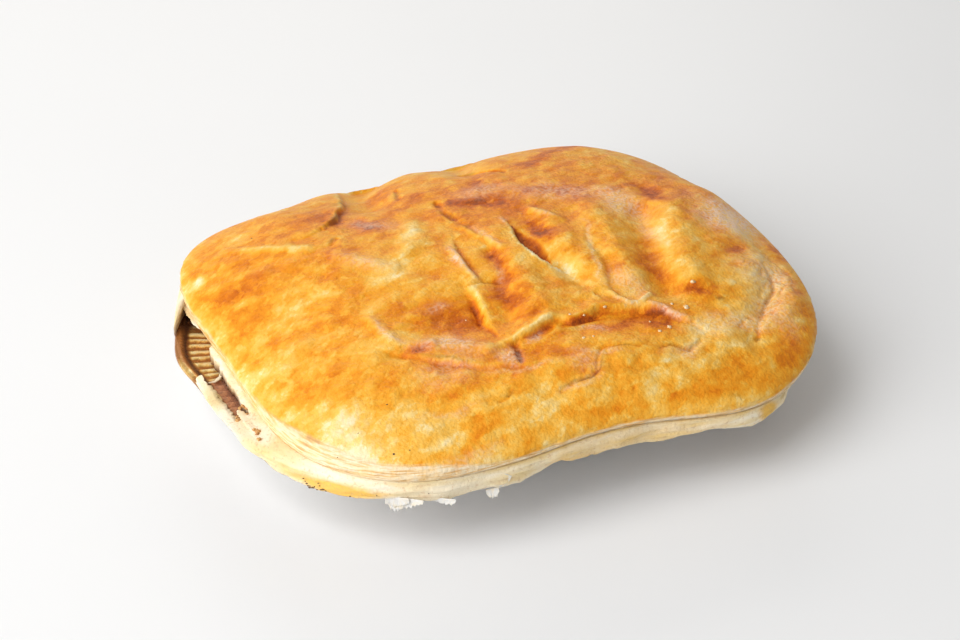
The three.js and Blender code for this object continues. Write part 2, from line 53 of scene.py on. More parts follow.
Array = np.ndarray
Pair = tuple[float, float]
Triple = tuple[float, float, float]
Path = tuple[Pair, ...]
Faces = list[list[int]]
Solid = tuple[Array, Faces]
Wave = Triple
Colour = Triple
Stops = tuple[tuple[float, Colour], ...]
Piece = bpy.types.Object
Material = bpy.types.Material
Socket = bpy.types.NodeSocket
Value = Socket | float | Colour


class Node(Enum):
    """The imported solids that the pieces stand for."""

    TRAY = "foil_tray"
    BASE = "pastry_base"
    LID = "pastry_lid"


class Slot(Enum):
    """The record's material slots."""

    FOIL = "foil"
    PALE = "pale_pastry"
    GOLDEN = "golden_pastry"


class Paint(Enum):
    """Values painted on the points of a mesh, which the finishes read."""

    # Browning, with painted shade and light on the crust's relief and a painted shadow at the seam
    BAKE_AND_SHADE = "bake_and_shade"
    # Real dry haze with painted sheen on the crust, and painted highlights on the foil
    HAZE_AND_SHEEN = "haze_and_sheen"
    FLAKE = "flake"
    # Charring and juice stains, with painted shade in cracks, at the seam and in the foil's crease and
    # corner
    CHAR_AND_SHADE = "char_and_shade"
    EDGE = "edge"


Paints = dict[Paint, Array]


# Shared arithmetic


def smoothstep(value: Array, low: float, high: float) -> Array:
    """Rise smoothly from 0 at low to 1 at high."""
    share = np.clip((value - low) / (high - low), 0, 1)
    return share * share * (3 - 2 * share)


def mix(a: Array, b: Array, share: Array) -> Array:
    """Go from a to b as share goes from 0 to 1."""
    return a + (b - a) * share


def degrees_apart(angle: Array, degrees: float) -> Array:
    """Give how far an angle in radians is from a heading in degrees, in degrees."""
    return np.abs((np.degrees(angle) - degrees + 180) % 360 - 180)


def stretch_round(angle: Array, at: float, spread: float) -> Array:
    """Tell a stretch round the pie, 1, from the rest, 0, by its middle and half its length in degrees."""
    return np.exp(-((degrees_apart(angle, at) / spread) ** 4))


def sum_of_sines(angle: Array, waves: tuple[Wave, ...]) -> Array:
    """Add up waves round the pie, each given by its height, its count and its phase in radians."""
    return sum(height * np.sin(count * angle + phase) for height, count, phase in waves)


def total_strength(marks: tuple, *place: Array) -> Array:
    """Add up the strengths of marks at places given by their coordinates."""
    return sum((mark.strength(*place) for mark in marks), np.zeros(np.shape(place[0])))


def soft_patch(along: Array, across: Array) -> Array:
    """Fall off from 1 in a patch's middle, with distances as shares of its length and width."""
    return np.exp(-((along**2 + across**2) ** PATCH_EDGE))


def thinned(share: Array, blunt: float, power: float = 0.5) -> Array:
    """Swell from a path's blunt ends to 1 in its middle."""
    return np.sin(np.pi * np.clip(share, blunt, 1 - blunt)) ** power


def superellipse_radius(angle: Array, half_length: float, half_width: float, squareness: float) -> Array:
    """Give the distance from the centre to a rounded rectangle's edge.

    Args:
        angle: headings in radians.
        half_length: half of the size along X.
        half_width: half of the size along Y.
        squareness: 2 is an ellipse, higher is squarer.

    Returns:
        The distance at each heading.
    """
    level = np.abs(np.cos(angle) / half_length) ** squareness
    level = level + np.abs(np.sin(angle) / half_width) ** squareness
    return level ** (-1 / squareness)


def nearest_on_path(x: Array, y: Array, path: Path) -> tuple[Array, Array, Array]:
    """Measure points against a path.

    Args:
        x: the points' places along X.
        y: the points' places along Y.
        path: the path's corners in order.

    Returns:
        The distance, the side of travel (1 is left) and the share of the path passed, 0 to 1.
    """
    distance = np.full(x.shape, np.inf)
    side = np.ones(x.shape)
    share = np.zeros(x.shape)
    for i, ((ax, ay), (bx, by)) in enumerate(zip(path, path[1:])):
        dx, dy = bx - ax, by - ay
        along = np.clip(((x - ax) * dx + (y - ay) * dy) / (dx * dx + dy * dy), 0, 1)
        gap = np.hypot(x - ax - along * dx, y - ay - along * dy)
        nearer = gap < distance
        distance = np.where(nearer, gap, distance)
        side = np.where(nearer, np.where(dx * (y - ay) - dy * (x - ax) < 0, -1.0, 1.0), side)
        share = np.where(nearer, (i + along) / (len(path) - 1), share)
    return distance, side, share


class Noise:
    """Smooth random waves in space, the same on every run."""

    CELLS = 48
    TURN = 0.7

    def __init__(self, seed: int) -> None:
        """Draw the random heights that the waves pass through."""
        self.heights = np.random.default_rng(seed).uniform(-1, 1, (self.CELLS,) * 3)

    def wave(self, x: Array, y: Array, z: Array, size: float) -> Array:
        """Give waves of one size, from -1 to 1.

        Args:
            x: places along X.
            y: places along Y.
            z: places along Z.
            size: the distance between one random height and the next.

        Returns:
            The wave's height at each place.
        """
        place = np.stack(np.broadcast_arrays(x, y, z)) / size
        cell = np.floor(place).astype(int)
        inside = place - cell
        inside = inside * inside * (3 - 2 * inside)
        total = np.zeros(place.shape[1:])
        for corner in np.ndindex(2, 2, 2):
            i, j, k = ((cell[axis] + corner[axis]) % self.CELLS for axis in range(3))
            weight = np.ones(place.shape[1:])
            for axis in range(3):
                weight = weight * (inside[axis] if corner[axis] else 1 - inside[axis])
            total += weight * self.heights[i, j, k]
        return total

    def fractal(self, x: Array, y: Array, z: Array, size: float, octaves: int = 4) -> Array:
        """Give waves with finer, lower waves on them, each octave turned against the last.

        Args:
            x: places along X.
            y: places along Y.
            z: places along Z.
            size: the size of the largest waves.
            octaves: how many sizes are added up.

        Returns:
            The summed height at each place, mostly within -1 to 1.
        """
        total = np.zeros(np.broadcast(x, y, z).shape)
        for octave in range(octaves):
            turn = self.TURN * octave
            across = x * math.cos(turn) - y * math.sin(turn)
            along = x * math.sin(turn) + y * math.cos(turn)
            total += self.wave(across + 7 * octave, along, z, size / 2**octave) / 2**octave
        return total


# Mesh making


def grid_quads(first: Array, second: Array, closed: bool = True) -> Array:
    """Join two rows of points with quads that face out where the rows turn anticlockwise from above."""
    quads = np.stack([first, np.roll(first, -1), np.roll(second, -1), second], axis=1)
    return quads if closed else quads[:-1]


def stacked_quads(numbers: Array) -> Faces:
    """Join each ring of a stack to the next with quads."""
    return np.concatenate([grid_quads(low, high) for low, high in zip(numbers, numbers[1:])]).tolist()


def border(grid: Array) -> Array:
    """Give the point numbers round a grid's edge, in order."""
    return np.concatenate([grid[0, :-1], grid[:-1, -1], grid[-1, :0:-1], grid[:0:-1, 0]])


def capped_rings(rings: int, steps: int) -> Faces:
    """Give the faces of a stack of rings with a flat cap at each end."""
    numbers = np.arange(rings * steps).reshape(rings, steps)
    return stacked_quads(numbers) + [numbers[0][::-1].tolist(), numbers[-1].tolist()]


def shell_of_rings(rings: list[Array], start: Array, end: Array) -> Solid:
    """Close a stack of rings with a point at each end.

    Args:
        rings: the rings' points, one array a ring.
        start: the point that closes the first ring, as one row.
        end: the point that closes the last ring, as one row.

    Returns:
        The shell's points and faces.
    """
    steps = len(rings[0])
    points = np.concatenate([*rings, start, end])
    numbers = np.arange(len(rings) * steps).reshape(len(rings), steps)
    faces = stacked_quads(numbers)
    first, last = numbers[0], numbers[-1]
    faces += [[len(points) - 2, b, a] for a, b in zip(first.tolist(), np.roll(first, -1).tolist())]
    faces += [[len(points) - 1, a, b] for a, b in zip(last.tolist(), np.roll(last, -1).tolist())]
    return points, faces


def make_piece(
    name: str,
    points: Array,
    faces: Faces,
    material: Material,
    paints: Paints | None = None,
) -> Piece:
    """Make a mesh object from points in millimetres.

    Args:
        name: the piece's name.
        points: an array of places, one row a point.
        faces: point numbers of each face.
        material: the piece's finish.
        paints: values for each point, by name.

    Returns:
        The new object, smooth shaded and linked to the scene.
    """
    mesh = bpy.data.meshes.new(name)
    mesh.from_pydata((points * MM).tolist(), [], faces)
    mesh.polygons.foreach_set("use_smooth", np.ones(len(mesh.polygons), dtype=bool))
    mesh.materials.append(material)
    set_paints(mesh, paints or {})
    piece = bpy.data.objects.new(name, mesh)
    bpy.context.scene.collection.objects.link(piece)
    return piece


def joined(parts: list[Solid]) -> Solid:
    """Join the points and faces of several parts.

    Args:
        parts: each part's points and faces.

    Returns:
        The points and faces of all.
    """
    points, faces, start = [], [], 0
    for part_points, part_faces in parts:
        points.append(part_points)
        faces += [[start + i for i in face] for face in part_faces]
        start += len(part_points)
    return np.concatenate(points), faces


def set_paints(mesh: bpy.types.Mesh, paints: Paints) -> None:
    """Store painted values on a mesh's points.

    Args:
        mesh: the mesh.
        paints: the values for each point.
    """
    for paint, values in paints.items():
        layer = mesh.attributes.new(paint.value, "FLOAT", "POINT")
        layer.data.foreach_set("value", np.clip(values, 0, 1).astype(np.float32))
    mesh.update()


def put_on_pie(piece: Piece, node: Node | None = None) -> None:
    """Fix a piece to the pie's body.

    Args:
        piece: the object.
        node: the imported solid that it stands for, if any.
    """
    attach(piece, BODY)
    if node is not None:
        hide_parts(node.value)


# The pie's forms, in millimetres from the centre of the tray's base


@dataclass(frozen=True)
class Swell:
    """A stretch round the pie that is moved: its heading and its width in degrees, and by how much."""

    at: float
    by: float
    width: float = 20

    def strength(self, angle: Array) -> Array:
        """Give how much is moved at each heading."""
        return self.by * np.exp(-((degrees_apart(angle, self.at) / self.width) ** 2))


@dataclass(frozen=True)
class LidForm:
    """The lid's outline, its wavy edge and its dome."""

    length: float = 164
    width: float = 138.6
    squareness: float = 3.5
    centre: Pair = (5.6, 0.5)
    edge: float = 2.4
    crown: float = 12.6
    fullness: float = 3
    front_shoulder: float = 0.68
    back_shoulder: float = 0.9
    seam: float = 24.5
    hump_reach: float = 8
    swells: tuple[Swell, ...] = (
        Swell(155, 1.5), Swell(180, -1.5), Swell(-128, 1.5, 12), Swell(-110, 0.7, 8), Swell(-90, 0.2),
        Swell(-64, 1.6, 11), Swell(-57, 7), Swell(-25, -0.8), Swell(0, 1.6), Swell(30, -2.6),
        Swell(60, -1.7), Swell(90, -1.9),
    )
    lifts: tuple[Swell, ...] = (
        Swell(155, 2.4), Swell(-120, -1), Swell(-90, 0.7), Swell(-57, -2), Swell(-25, 1.2),
        Swell(30, -0.9), Swell(60, -0.9), Swell(90, -1.1), Swell(120, -1.2),
    )
    humps: tuple[Swell, ...] = (
        Swell(122, -0.9, 7), Swell(110, 1, 6), Swell(99.5, -1.6, 4.5), Swell(87.5, 1.7, 6),
        Swell(73.5, -1.4, 4.5), Swell(50, 0.9, 14), Swell(15, -1.4, 7),
    )

    def radius(self, angle: Array) -> Array:
        """Give the distance from the lid's centre to its cut edge."""
        plain = superellipse_radius(angle, self.length / 2, self.width / 2, self.squareness)
        return plain + total_strength(self.swells, angle)

    def seam_height(self, angle: Array) -> Array:
        """Give the height at which the lid meets the pastry below it."""
        return self.seam + total_strength(self.lifts, angle)

    def top(self, angle: Array, share: Array) -> Array:
        """Give the height of the smooth dome.

        Args:
            angle: headings from the lid's centre.
            share: distances from the centre, as shares of the way to the edge.

        Returns:
            The height of the crust without its relief.
        """
        shoulder = mix(self.front_shoulder, self.back_shoulder, (1 + np.sin(angle)) / 2)
        dome = self.crown * np.clip(1 - share**self.fullness, 0, 1) ** shoulder
        humps = total_strength(self.humps, angle) * share**self.hump_reach
        return mix(self.seam, self.seam_height(angle), share) + self.edge + dome + humps

    def place(self, angle: Array, radius: Array, z: Array) -> Array:
        """Give points round the lid's centre, one row a point."""
        x, y = self.centre[0] + radius * np.cos(angle), self.centre[1] + radius * np.sin(angle)
        return np.stack(np.broadcast_arrays(x, y, z), axis=-1)


@dataclass(frozen=True)
class TrayForm:
    """The foil tray's outline, its flared wall, its ledge and its rolled rim."""

    length: float = 167
    width: float = 135
    squareness: float = 2.7
    base_length: float = 120
    base_width: float = 92
    rim_top: float = 21.6
    bead_width: float = 3
    bead_height: float = 2.2
    bead_peak: float = 1.1
    crease_depth: float = 0.9
    foil: float = 0.7
    flutes: int = 170
    flute_depth: float = 0.9
    ledge_width: float = 8
    ledge_drop: float = 1.2
    ledge_flute_depth: float = 0.6
    rim_bend: Swell = Swell(170, 1.9, 7)
    outline_halvings: int = 40

    @property
    def bead_foot(self) -> float:
        """Height of the rolled rim's underside."""
        return self.rim_top - self.bead_height

    @property
    def crease_height(self) -> float:
        """Height of the crease between the rolled rim and the ledge."""
        return self.rim_top - self.crease_depth

    @property
    def ledge_inset(self) -> float:
        """Distance from the rim's outer edge to where the ledge meets the wall."""
        return self.bead_width + self.ledge_width

    @property
    def ledge_height(self) -> float:
        """Height of the ledge where it meets the wall."""
        return self.crease_height - self.ledge_drop

    @property
    def wall_lean(self) -> float:
        """How far the wall runs out for each millimetre that it rises."""
        return ((self.length - self.base_length) / 2 - self.ledge_inset) / self.ledge_height

    @property
    def foil_across(self) -> float:
        """Thickness of the leaning wall, measured level."""
        return self.foil * math.hypot(1, self.wall_lean)

    @property
    def corner_inset(self) -> float:
        """Distance from the base's outer edge to the wall's foot inside the tray."""
        return self.foil_across - self.foil * self.wall_lean

    def rim_radius(self, angle: Array, inset: float) -> Array:
        """Give the distance from the tray's centre to its rim, less an inset."""
        return superellipse_radius(angle, self.length / 2 - inset, self.width / 2 - inset, self.squareness)

    def bent_rim_radius(self, angle: Array, inset: float) -> Array:
        """Give the distance from the tray's centre to its rim, less an inset, where it is bent too."""
        return self.rim_radius(angle, inset) + self.rim_bend.strength(angle)

    def base_radius(self, angle: Array, inset: float) -> Array:
        """Give the distance from the tray's centre to the edge of its base, less an inset."""
        half_length, half_width = self.base_length / 2 - inset, self.base_width / 2 - inset
        return superellipse_radius(angle, half_length, half_width, self.squareness)

    def radius_from(self, centre: Pair, angle: Array, half: Pair) -> Array:
        """Measure a tray outline from another centre.

        Args:
            centre: the place to measure from.
            angle: headings from that place.
            half: half of the outline's length and width.

        Returns:
            The distance to the outline at each heading.
        """
        inside = np.zeros(np.shape(angle))
        outside = np.full(np.shape(angle), sum(half))
        for _ in range(self.outline_halvings):
            middle = (inside + outside) / 2
            x = np.abs(centre[0] + middle * np.cos(angle)) / half[0]
            y = np.abs(centre[1] + middle * np.sin(angle)) / half[1]
            within = x**self.squareness + y**self.squareness < 1
            inside = np.where(within, middle, inside)
            outside = np.where(within, outside, middle)
        return inside


# Relief of the crust, from the lid's centre


@dataclass(frozen=True)
class Step:
    """A break in the crust: the ground left of the path's travel drops and climbs back."""

    path: Path
    depth: float
    reach: float
    lip_height: float = 0.35
    lip_reach: float = 3.0
    face: float = 0.7
    blunt: float = 0.04

    def height(self, x: Array, y: Array) -> Array:
        """Give how far the step raises or lowers the crust.

        Args:
            x: places along X.
            y: places along Y.

        Returns:
            The height at each place.
        """
        distance, side, share = nearest_on_path(x, y, self.path)
        low = -np.exp(-((distance / self.reach) ** 2))
        high = self.lip_height * np.exp(-((distance / self.lip_reach) ** 2))
        fade = thinned(share, self.blunt)
        return self.depth * fade * mix(high, low, smoothstep(side * distance, -self.face, self.face))


@dataclass(frozen=True)
class Gash:
    """An open slit under a lip: steep on the right of the path's travel, rising to its left."""

    path: Path
    depth: float
    width: float
    wall: float = 0.5
    blunt: float = 0.02
    pointed: float = 0.7
    floor_end: Pair = (0.7, 0.95)

    def across(self, x: Array, y: Array) -> tuple[Array, Array]:
        """Give how far left of the path each place lies, and how wide the slit is there."""
        distance, side, share = nearest_on_path(x, y, self.path)
        return side * distance, self.width * thinned(share, self.blunt, self.pointed)

    def opening(self, x: Array, y: Array) -> Array:
        """Give how deep a place lies in the slit.

        Args:
            x: places along X.
            y: places along Y.

        Returns:
            The depth, from 0 outside to 1 under the lip.
        """
        across, width = self.across(x, y)
        floor = np.clip(1 - across / width, 0, 1)
        return width / self.width * floor * smoothstep(across, -self.wall, self.wall)

    def inside(self, x: Array, y: Array) -> Array:
        """Tell the slit's inside, 1, from the crust around it, 0."""
        across, width = self.across(x, y)
        return smoothstep(across, 0, self.wall) * (1 - smoothstep(across / width, *self.floor_end))

    def height(self, x: Array, y: Array) -> Array:
        """Give how far the slit lowers the crust."""
        return -self.depth * self.opening(x, y)


@dataclass(frozen=True)
class Crease:
    """A long hollow along a path: a fine crack where it is narrow, a ridge where its depth is below 0."""

    path: Path
    depth: float
    width: float

    def height(self, x: Array, y: Array) -> Array:
        """Give how far the crease lowers the crust."""
        distance, _, _ = nearest_on_path(x, y, self.path)
        return -self.depth * np.exp(-((distance / self.width) ** 2))


@dataclass(frozen=True)
class Blister:
    """A round swell, or a hollow where the height is negative."""

    at: Pair
    size: Pair
    height_at_middle: float

    def height(self, x: Array, y: Array) -> Array:
        """Give how far the blister raises the crust."""
        along, across = (x - self.at[0]) / self.size[0], (y - self.at[1]) / self.size[1]
        return self.height_at_middle * np.exp(-(along**2) - across**2)


@dataclass(frozen=True)
class CrustRelief:
    """Everything that breaks the lid's smooth dome."""

    steps: tuple[Step, ...] = (
        Step(((-8, 12), (-10.4, 2), (-10.2, -4), (-10, -10.5)), 0.6, 5),
        Step(((-15.4, -30), (-14.6, -24.5), (-13.6, -18.5), (-13.8, -12.5)), 2, 3.6, 0.45, 2.2, 1.4),
        Step(((10, 11), (8.9, 3), (9, -3), (10, -8), (12, -12)), 1.4, 5.5),
        Step(((11.5, -9), (12.5, -17), (15, -27)), 3, 5, 0.1, 3, 3.4),
        Step(((27, -4), (25.6, -8.6), (24.1, -17.4), (21.6, -27.2), (20.9, -33), (23, -36.6)), 0.4, 4.5),
        Step(((36, -49), (31.5, -41), (24, -38), (14, -36.4), (6, -37.2), (0, -35.2), (-12, -38)), 1.5, 7),
        Step(((-14, -47.8), (-26, -44.1), (-32, -38.3), (-36.5, -35.5), (-44, -28.5)), 1, 5),
        Step(((-21, 66), (-23, 55), (-28.5, 45), (-33.5, 37.5), (-36.5, 36)), 1.4, 7),
    )
    gashes: tuple[Gash, ...] = (
        Gash(((9.9, 9.5), (8.9, 3), (9, -3), (10, -8), (11.8, -11.4)), 2.6, 5.4),
        Gash(((-8.2, 11), (-10, 4), (-10.2, -4), (-9.8, -11)), 0.4, 2.4),
        Gash(((0.5, -35.2), (-5, -37), (-10.5, -38.2)), 1.1, 3.6),
        Gash(((15, -36.2), (11, -37.4), (1.3, -37)), 0.8, 1.5),
    )
    creases: tuple[Crease, ...] = (
        Crease(((-18, 46), (-15, 68)), 3, 6), Crease(((16, 52), (18, 68)), 2, 5),
        Crease(((77, -16), (72, -34), (60, -47), (50, -59)), 1.3, 4),
        Crease(((49, 4), (41, -14), (38.5, -24), (36, -34)), 2.2, 4.5),
        Crease(((-5, -13.5), (-7, -21), (-9.6, -29)), 1.3, 2.8),
        Crease(((-3, 33), (-3.5, 25), (-1.5, 16), (-0.3, 8), (0, 2)), 0.4, 1.1),
        Crease(((-1.5, 1), (-1.6, -4), (-2.5, -13)), 0.8, 1.9),
    )
    ridges: tuple[Crease, ...] = (
        Crease(((4.5, 8), (3.5, -8), (1, -27)), -1.1, 4.5),
        Crease(((21, 10), (20, -10), (18.5, -27)), -1, 4.2),
        Crease(((36, 10), (32, -10), (29, -27)), -1.2, 4.5),
        Crease(((57, 4), (52, -14), (47, -30)), -1.5, 6),
        Crease(((-11.4, 5), (-11.6, -3), (-11.2, -9)), -0.7, 1.1),
        Crease(((20.5, -31), (22.5, -36), (26.3, -37), (30.6, -34.4)), -0.9, 0.9),
        Crease(((28.4, -38.3), (31.5, -41.2), (33.5, -45.3), (35, -48)), -0.7, 0.8),
        Crease(((-22, -38.8), (-17, -37.5), (-11.5, -36.8), (-6, -35.8), (-0.4, -33.8)), -0.6, 1.9),
        Crease(((-44, -13.5), (-43, -21), (-41.4, -27), (-34.4, -31)), -0.8, 2),
        Crease(((-33, -31), (-28, -34), (-22, -38)), -0.7, 2.6),
        Crease(((-64, 38), (-52, 29), (-47, 25.5)), -0.6, 2),
        Crease(((-41, 18), (-35, 11), (-30, 4.5)), -0.7, 2.6),
        Crease(((-24, 9), (-17, 15), (-14, 26)), -0.7, 2.6),
        Crease(((-80, -13), (-73, -15.5), (-64, -13)), -0.7, 3.5),
        Crease(((-2, 15.4), (-0.3, 9), (2, 0.6)), -0.6, 1.2), Crease(((19, 16), (24.4, 7.4)), -0.6, 1.6),
        Crease(((55, -55), (63, -54), (72, -46)), -0.9, 3.4),
    )
    cracks: tuple[Crease, ...] = (
        Crease(((-10, -58.7), (-5, -57.9), (-0.6, -58.2), (2.6, -56.6), (6.7, -51.6)), 0.5, 0.45),
        Crease(((-26, -55.7), (-23.1, -56.1), (-21.3, -54.2)), 0.4, 0.45),
        Crease(((7.6, -51.2), (13.3, -51.8), (17, -53.4)), 0.3, 0.4),
        Crease(((22, -55.6), (25.6, -55.2), (29.5, -58.6), (34.3, -55.6)), 0.5, 0.45),
        Crease(((70.4, -30.5), (67.7, -40.2), (60.3, -47.3), (55.2, -52.5), (50.7, -58.3)), 0.5, 0.7),
        Crease(((74, -28), (76, -36), (72, -45)), 0.35, 0.6),
        Crease(((66, -27), (69, -31), (66.5, -35), (70, -37)), 0.35, 0.5),
        Crease(((72, -33), (69.5, -36), (72, -40), (68, -43)), 0.35, 0.5),
        Crease(((64, -40), (61, -42.5), (63.5, -45), (59, -46)), 0.35, 0.5),
        Crease(((48, -53.6), (51, -51), (53.7, -52.2)), 0.5, 0.5),
        Crease(((-12.8, -39), (-14, -42), (-14.7, -45.5)), 1, 0.6),
        Crease(((-13.5, -10.6), (-9.5, -11.6), (-4.7, -12.7)), 0.5, 0.5),
        Crease(((-7.6, 50.8), (-9, 47), (-10.4, 43.5)), 0.6, 0.8),
        Crease(((-3.3, 33), (-2.9, 30.4)), 0.45, 0.8), Crease(((-3.5, 25.6), (-2.3, 21.4)), 0.45, 0.8),
        Crease(((-40.1, 24), (-37.3, 27.1)), 0.5, 0.6),
        Crease(((15.4, 55.3), (18.9, 52.2), (24.9, 44)), 0.9, 1),
    )
    blisters: tuple[Blister, ...] = (
        Blister((-23, -24), (12, 10), -2.2), Blister((-41, -30), (4.5, 3), -1.2),
        Blister((63, 2), (13, 22), 1.6), Blister((-45, 48), (14, 14), 1.2),
        Blister((20, -58), (26, 9), 0.9), Blister((77, 10), (10, 18), 3.6), Blister((10, 25), (8, 4), -0.8),
        Blister((16.5, 6), (3.5, 7), -0.7), Blister((57, 13), (3.5, 9), -0.9),
        Blister((65.4, -22), (4, 3), -0.8),
    )
    fade: float = 16
    bubbles: int = 90
    bubble_radius: Pair = (1.6, 4.5)
    bubble_height: Pair = (0.05, 0.28)
    bubble_stretch: Pair = (0.8, 1.6)
    bubble_field: tuple[Pair, Pair] = ((-76, -64), (78, 62))
    warp: float = 0.9
    hollow_steps: int = 6
    broad_height: float = 0.42
    fine_height: float = 0.16
    streak_height: float = 0.10
    craze_depth: float = 0.3
    cracked_end: Pair = (52, 74)
    cracked_front: Pair = (8, 30)
    leafy_front: Pair = (44, 52)
    leaf_edges: tuple[float, ...] = (-0.45, -0.1, 0.2, 0.5)
    leaf_face: float = 0.07
    leaf_height: float = 0.13
    cracked_leaf_height: float = 0.1
    seed: int = 11

    def height(self, x: Array, y: Array) -> Array:
        """Give how far the crust stands above the smooth dome.

        Args:
            x: places along X.
            y: places along Y.

        Returns:
            The relief at each place, before it fades at the lid's edge.
        """
        noise = Noise(self.seed)
        warped_x = x + self.warp * noise.fractal(x, y, z=3.0, size=7, octaves=3)
        warped_y = y + self.warp * noise.fractal(x, y, z=40.0, size=7, octaves=3)
        total = np.zeros(x.shape)
        for feature in (*self.steps, *self.gashes, *self.ridges, *self.cracks):
            total = total + feature.height(warped_x, warped_y)
        for feature in (*self.creases, *self.blisters):
            total = total + feature.height(x, y)
        return total + self.bubbled(x, y) + self.wrinkled(x, y, noise)

    def openness(self, x: Array, y: Array) -> Array:
        """Tell the insides of slits, up to 1 in the deepest, from the crust around them, 0."""
        deepest = max(gash.depth for gash in self.gashes)
        return np.maximum.reduce([gash.inside(x, y) * gash.depth / deepest for gash in self.gashes])

    def hollowness(self, x: Array, y: Array, reach: float) -> Array:
        """Give how far a place lies below the crust around it.

        Args:
            x: places along X.
            y: places along Y.
            reach: how far off the crust around it is, in mm.

        Returns:
            The depth at each place, below 0 on crests.
        """
        around = np.zeros(x.shape)
        for turn in np.linspace(0, 2 * math.pi, self.hollow_steps, endpoint=False):
            around = around + self.height(x + reach * math.cos(turn), y + reach * math.sin(turn))
        return around / self.hollow_steps - self.height(x, y)

    def bubbled(self, x: Array, y: Array) -> Array:
        """Give small bubbles scattered over the crust.

        Args:
            x: places along X.
            y: places along Y.

        Returns:
            The bubbles' height at each place.
        """
        random = np.random.default_rng(self.seed)
        total = np.zeros(x.shape)
        for _ in range(self.bubbles):
            at = random.uniform(*self.bubble_field)
            radius = random.uniform(*self.bubble_radius)
            height = random.uniform(*self.bubble_height)
            stretch = random.uniform(*self.bubble_stretch)
            gap = ((x - at[0]) ** 2 + ((y - at[1]) * stretch) ** 2) / radius**2
            total = total + height * np.exp(-(gap**2))
        return total

    def wrinkled(self, x: Array, y: Array, noise: Noise) -> Array:
        """Give the crust's fine unevenness, rougher towards the right end.

        Args:
            x: places along X.
            y: places along Y.
            noise: the waves that it is drawn with.

        Returns:
            The unevenness at each place.
        """
        broad = self.broad_height * noise.fractal(x, y, z=9.0, size=15, octaves=3)
        fine = self.fine_height * noise.fractal(x, y, z=21.0, size=3.4, octaves=3)
        slanted = noise.fractal(0.5 * x + 0.2 * y, y - 0.3 * x, z=31.0, size=2.6, octaves=3)
        cracked = smoothstep(x, *self.cracked_end) * smoothstep(-y, *self.cracked_front)
        flaky = 0.35 + 0.65 * np.maximum(cracked, smoothstep(-y, *self.leafy_front))
        crazed = self.craze_depth * np.abs(noise.fractal(x, y, z=55.0, size=3.2, octaves=3)) * cracked
        leaves = noise.fractal(0.7 * x, 1.2 * y, z=71.0, size=7, octaves=4)
        leafy = sum(smoothstep(leaves, edge, edge + self.leaf_face) for edge in self.leaf_edges)
        leaf_height = self.leaf_height + self.cracked_leaf_height * cracked
        return broad + fine + self.streak_height * slanted - crazed + leaf_height * flaky * leafy


# Browning of the crust, from the lid's centre


@dataclass(frozen=True)
class Dab:
    """A soft patch of colour, turned by degrees from X."""

    x: float
    y: float
    length: float
    width: float
    amount: float
    turn: float = 0.0

    def strength(self, x: Array, y: Array) -> Array:
        """Give the patch's strength.

        Args:
            x: places along X.
            y: places along Y.

        Returns:
            The strength at each place.
        """
        cos, sin = math.cos(math.radians(self.turn)), math.sin(math.radians(self.turn))
        along = ((x - self.x) * cos + (y - self.y) * sin) / self.length
        across = ((y - self.y) * cos - (x - self.x) * sin) / self.width
        return self.amount * soft_patch(along, across)


@dataclass(frozen=True)
class Streak:
    """A soft line of colour along a path."""

    path: Path
    width: float
    amount: float
    blunt: float = 0.03

    def strength(self, x: Array, y: Array) -> Array:
        """Give the line's strength at each place, thinner at its ends."""
        distance, _, share = nearest_on_path(x, y, self.path)
        return self.amount * thinned(share, self.blunt) * np.exp(-((distance / self.width) ** 2))


Marks = tuple[Dab | Streak, ...]


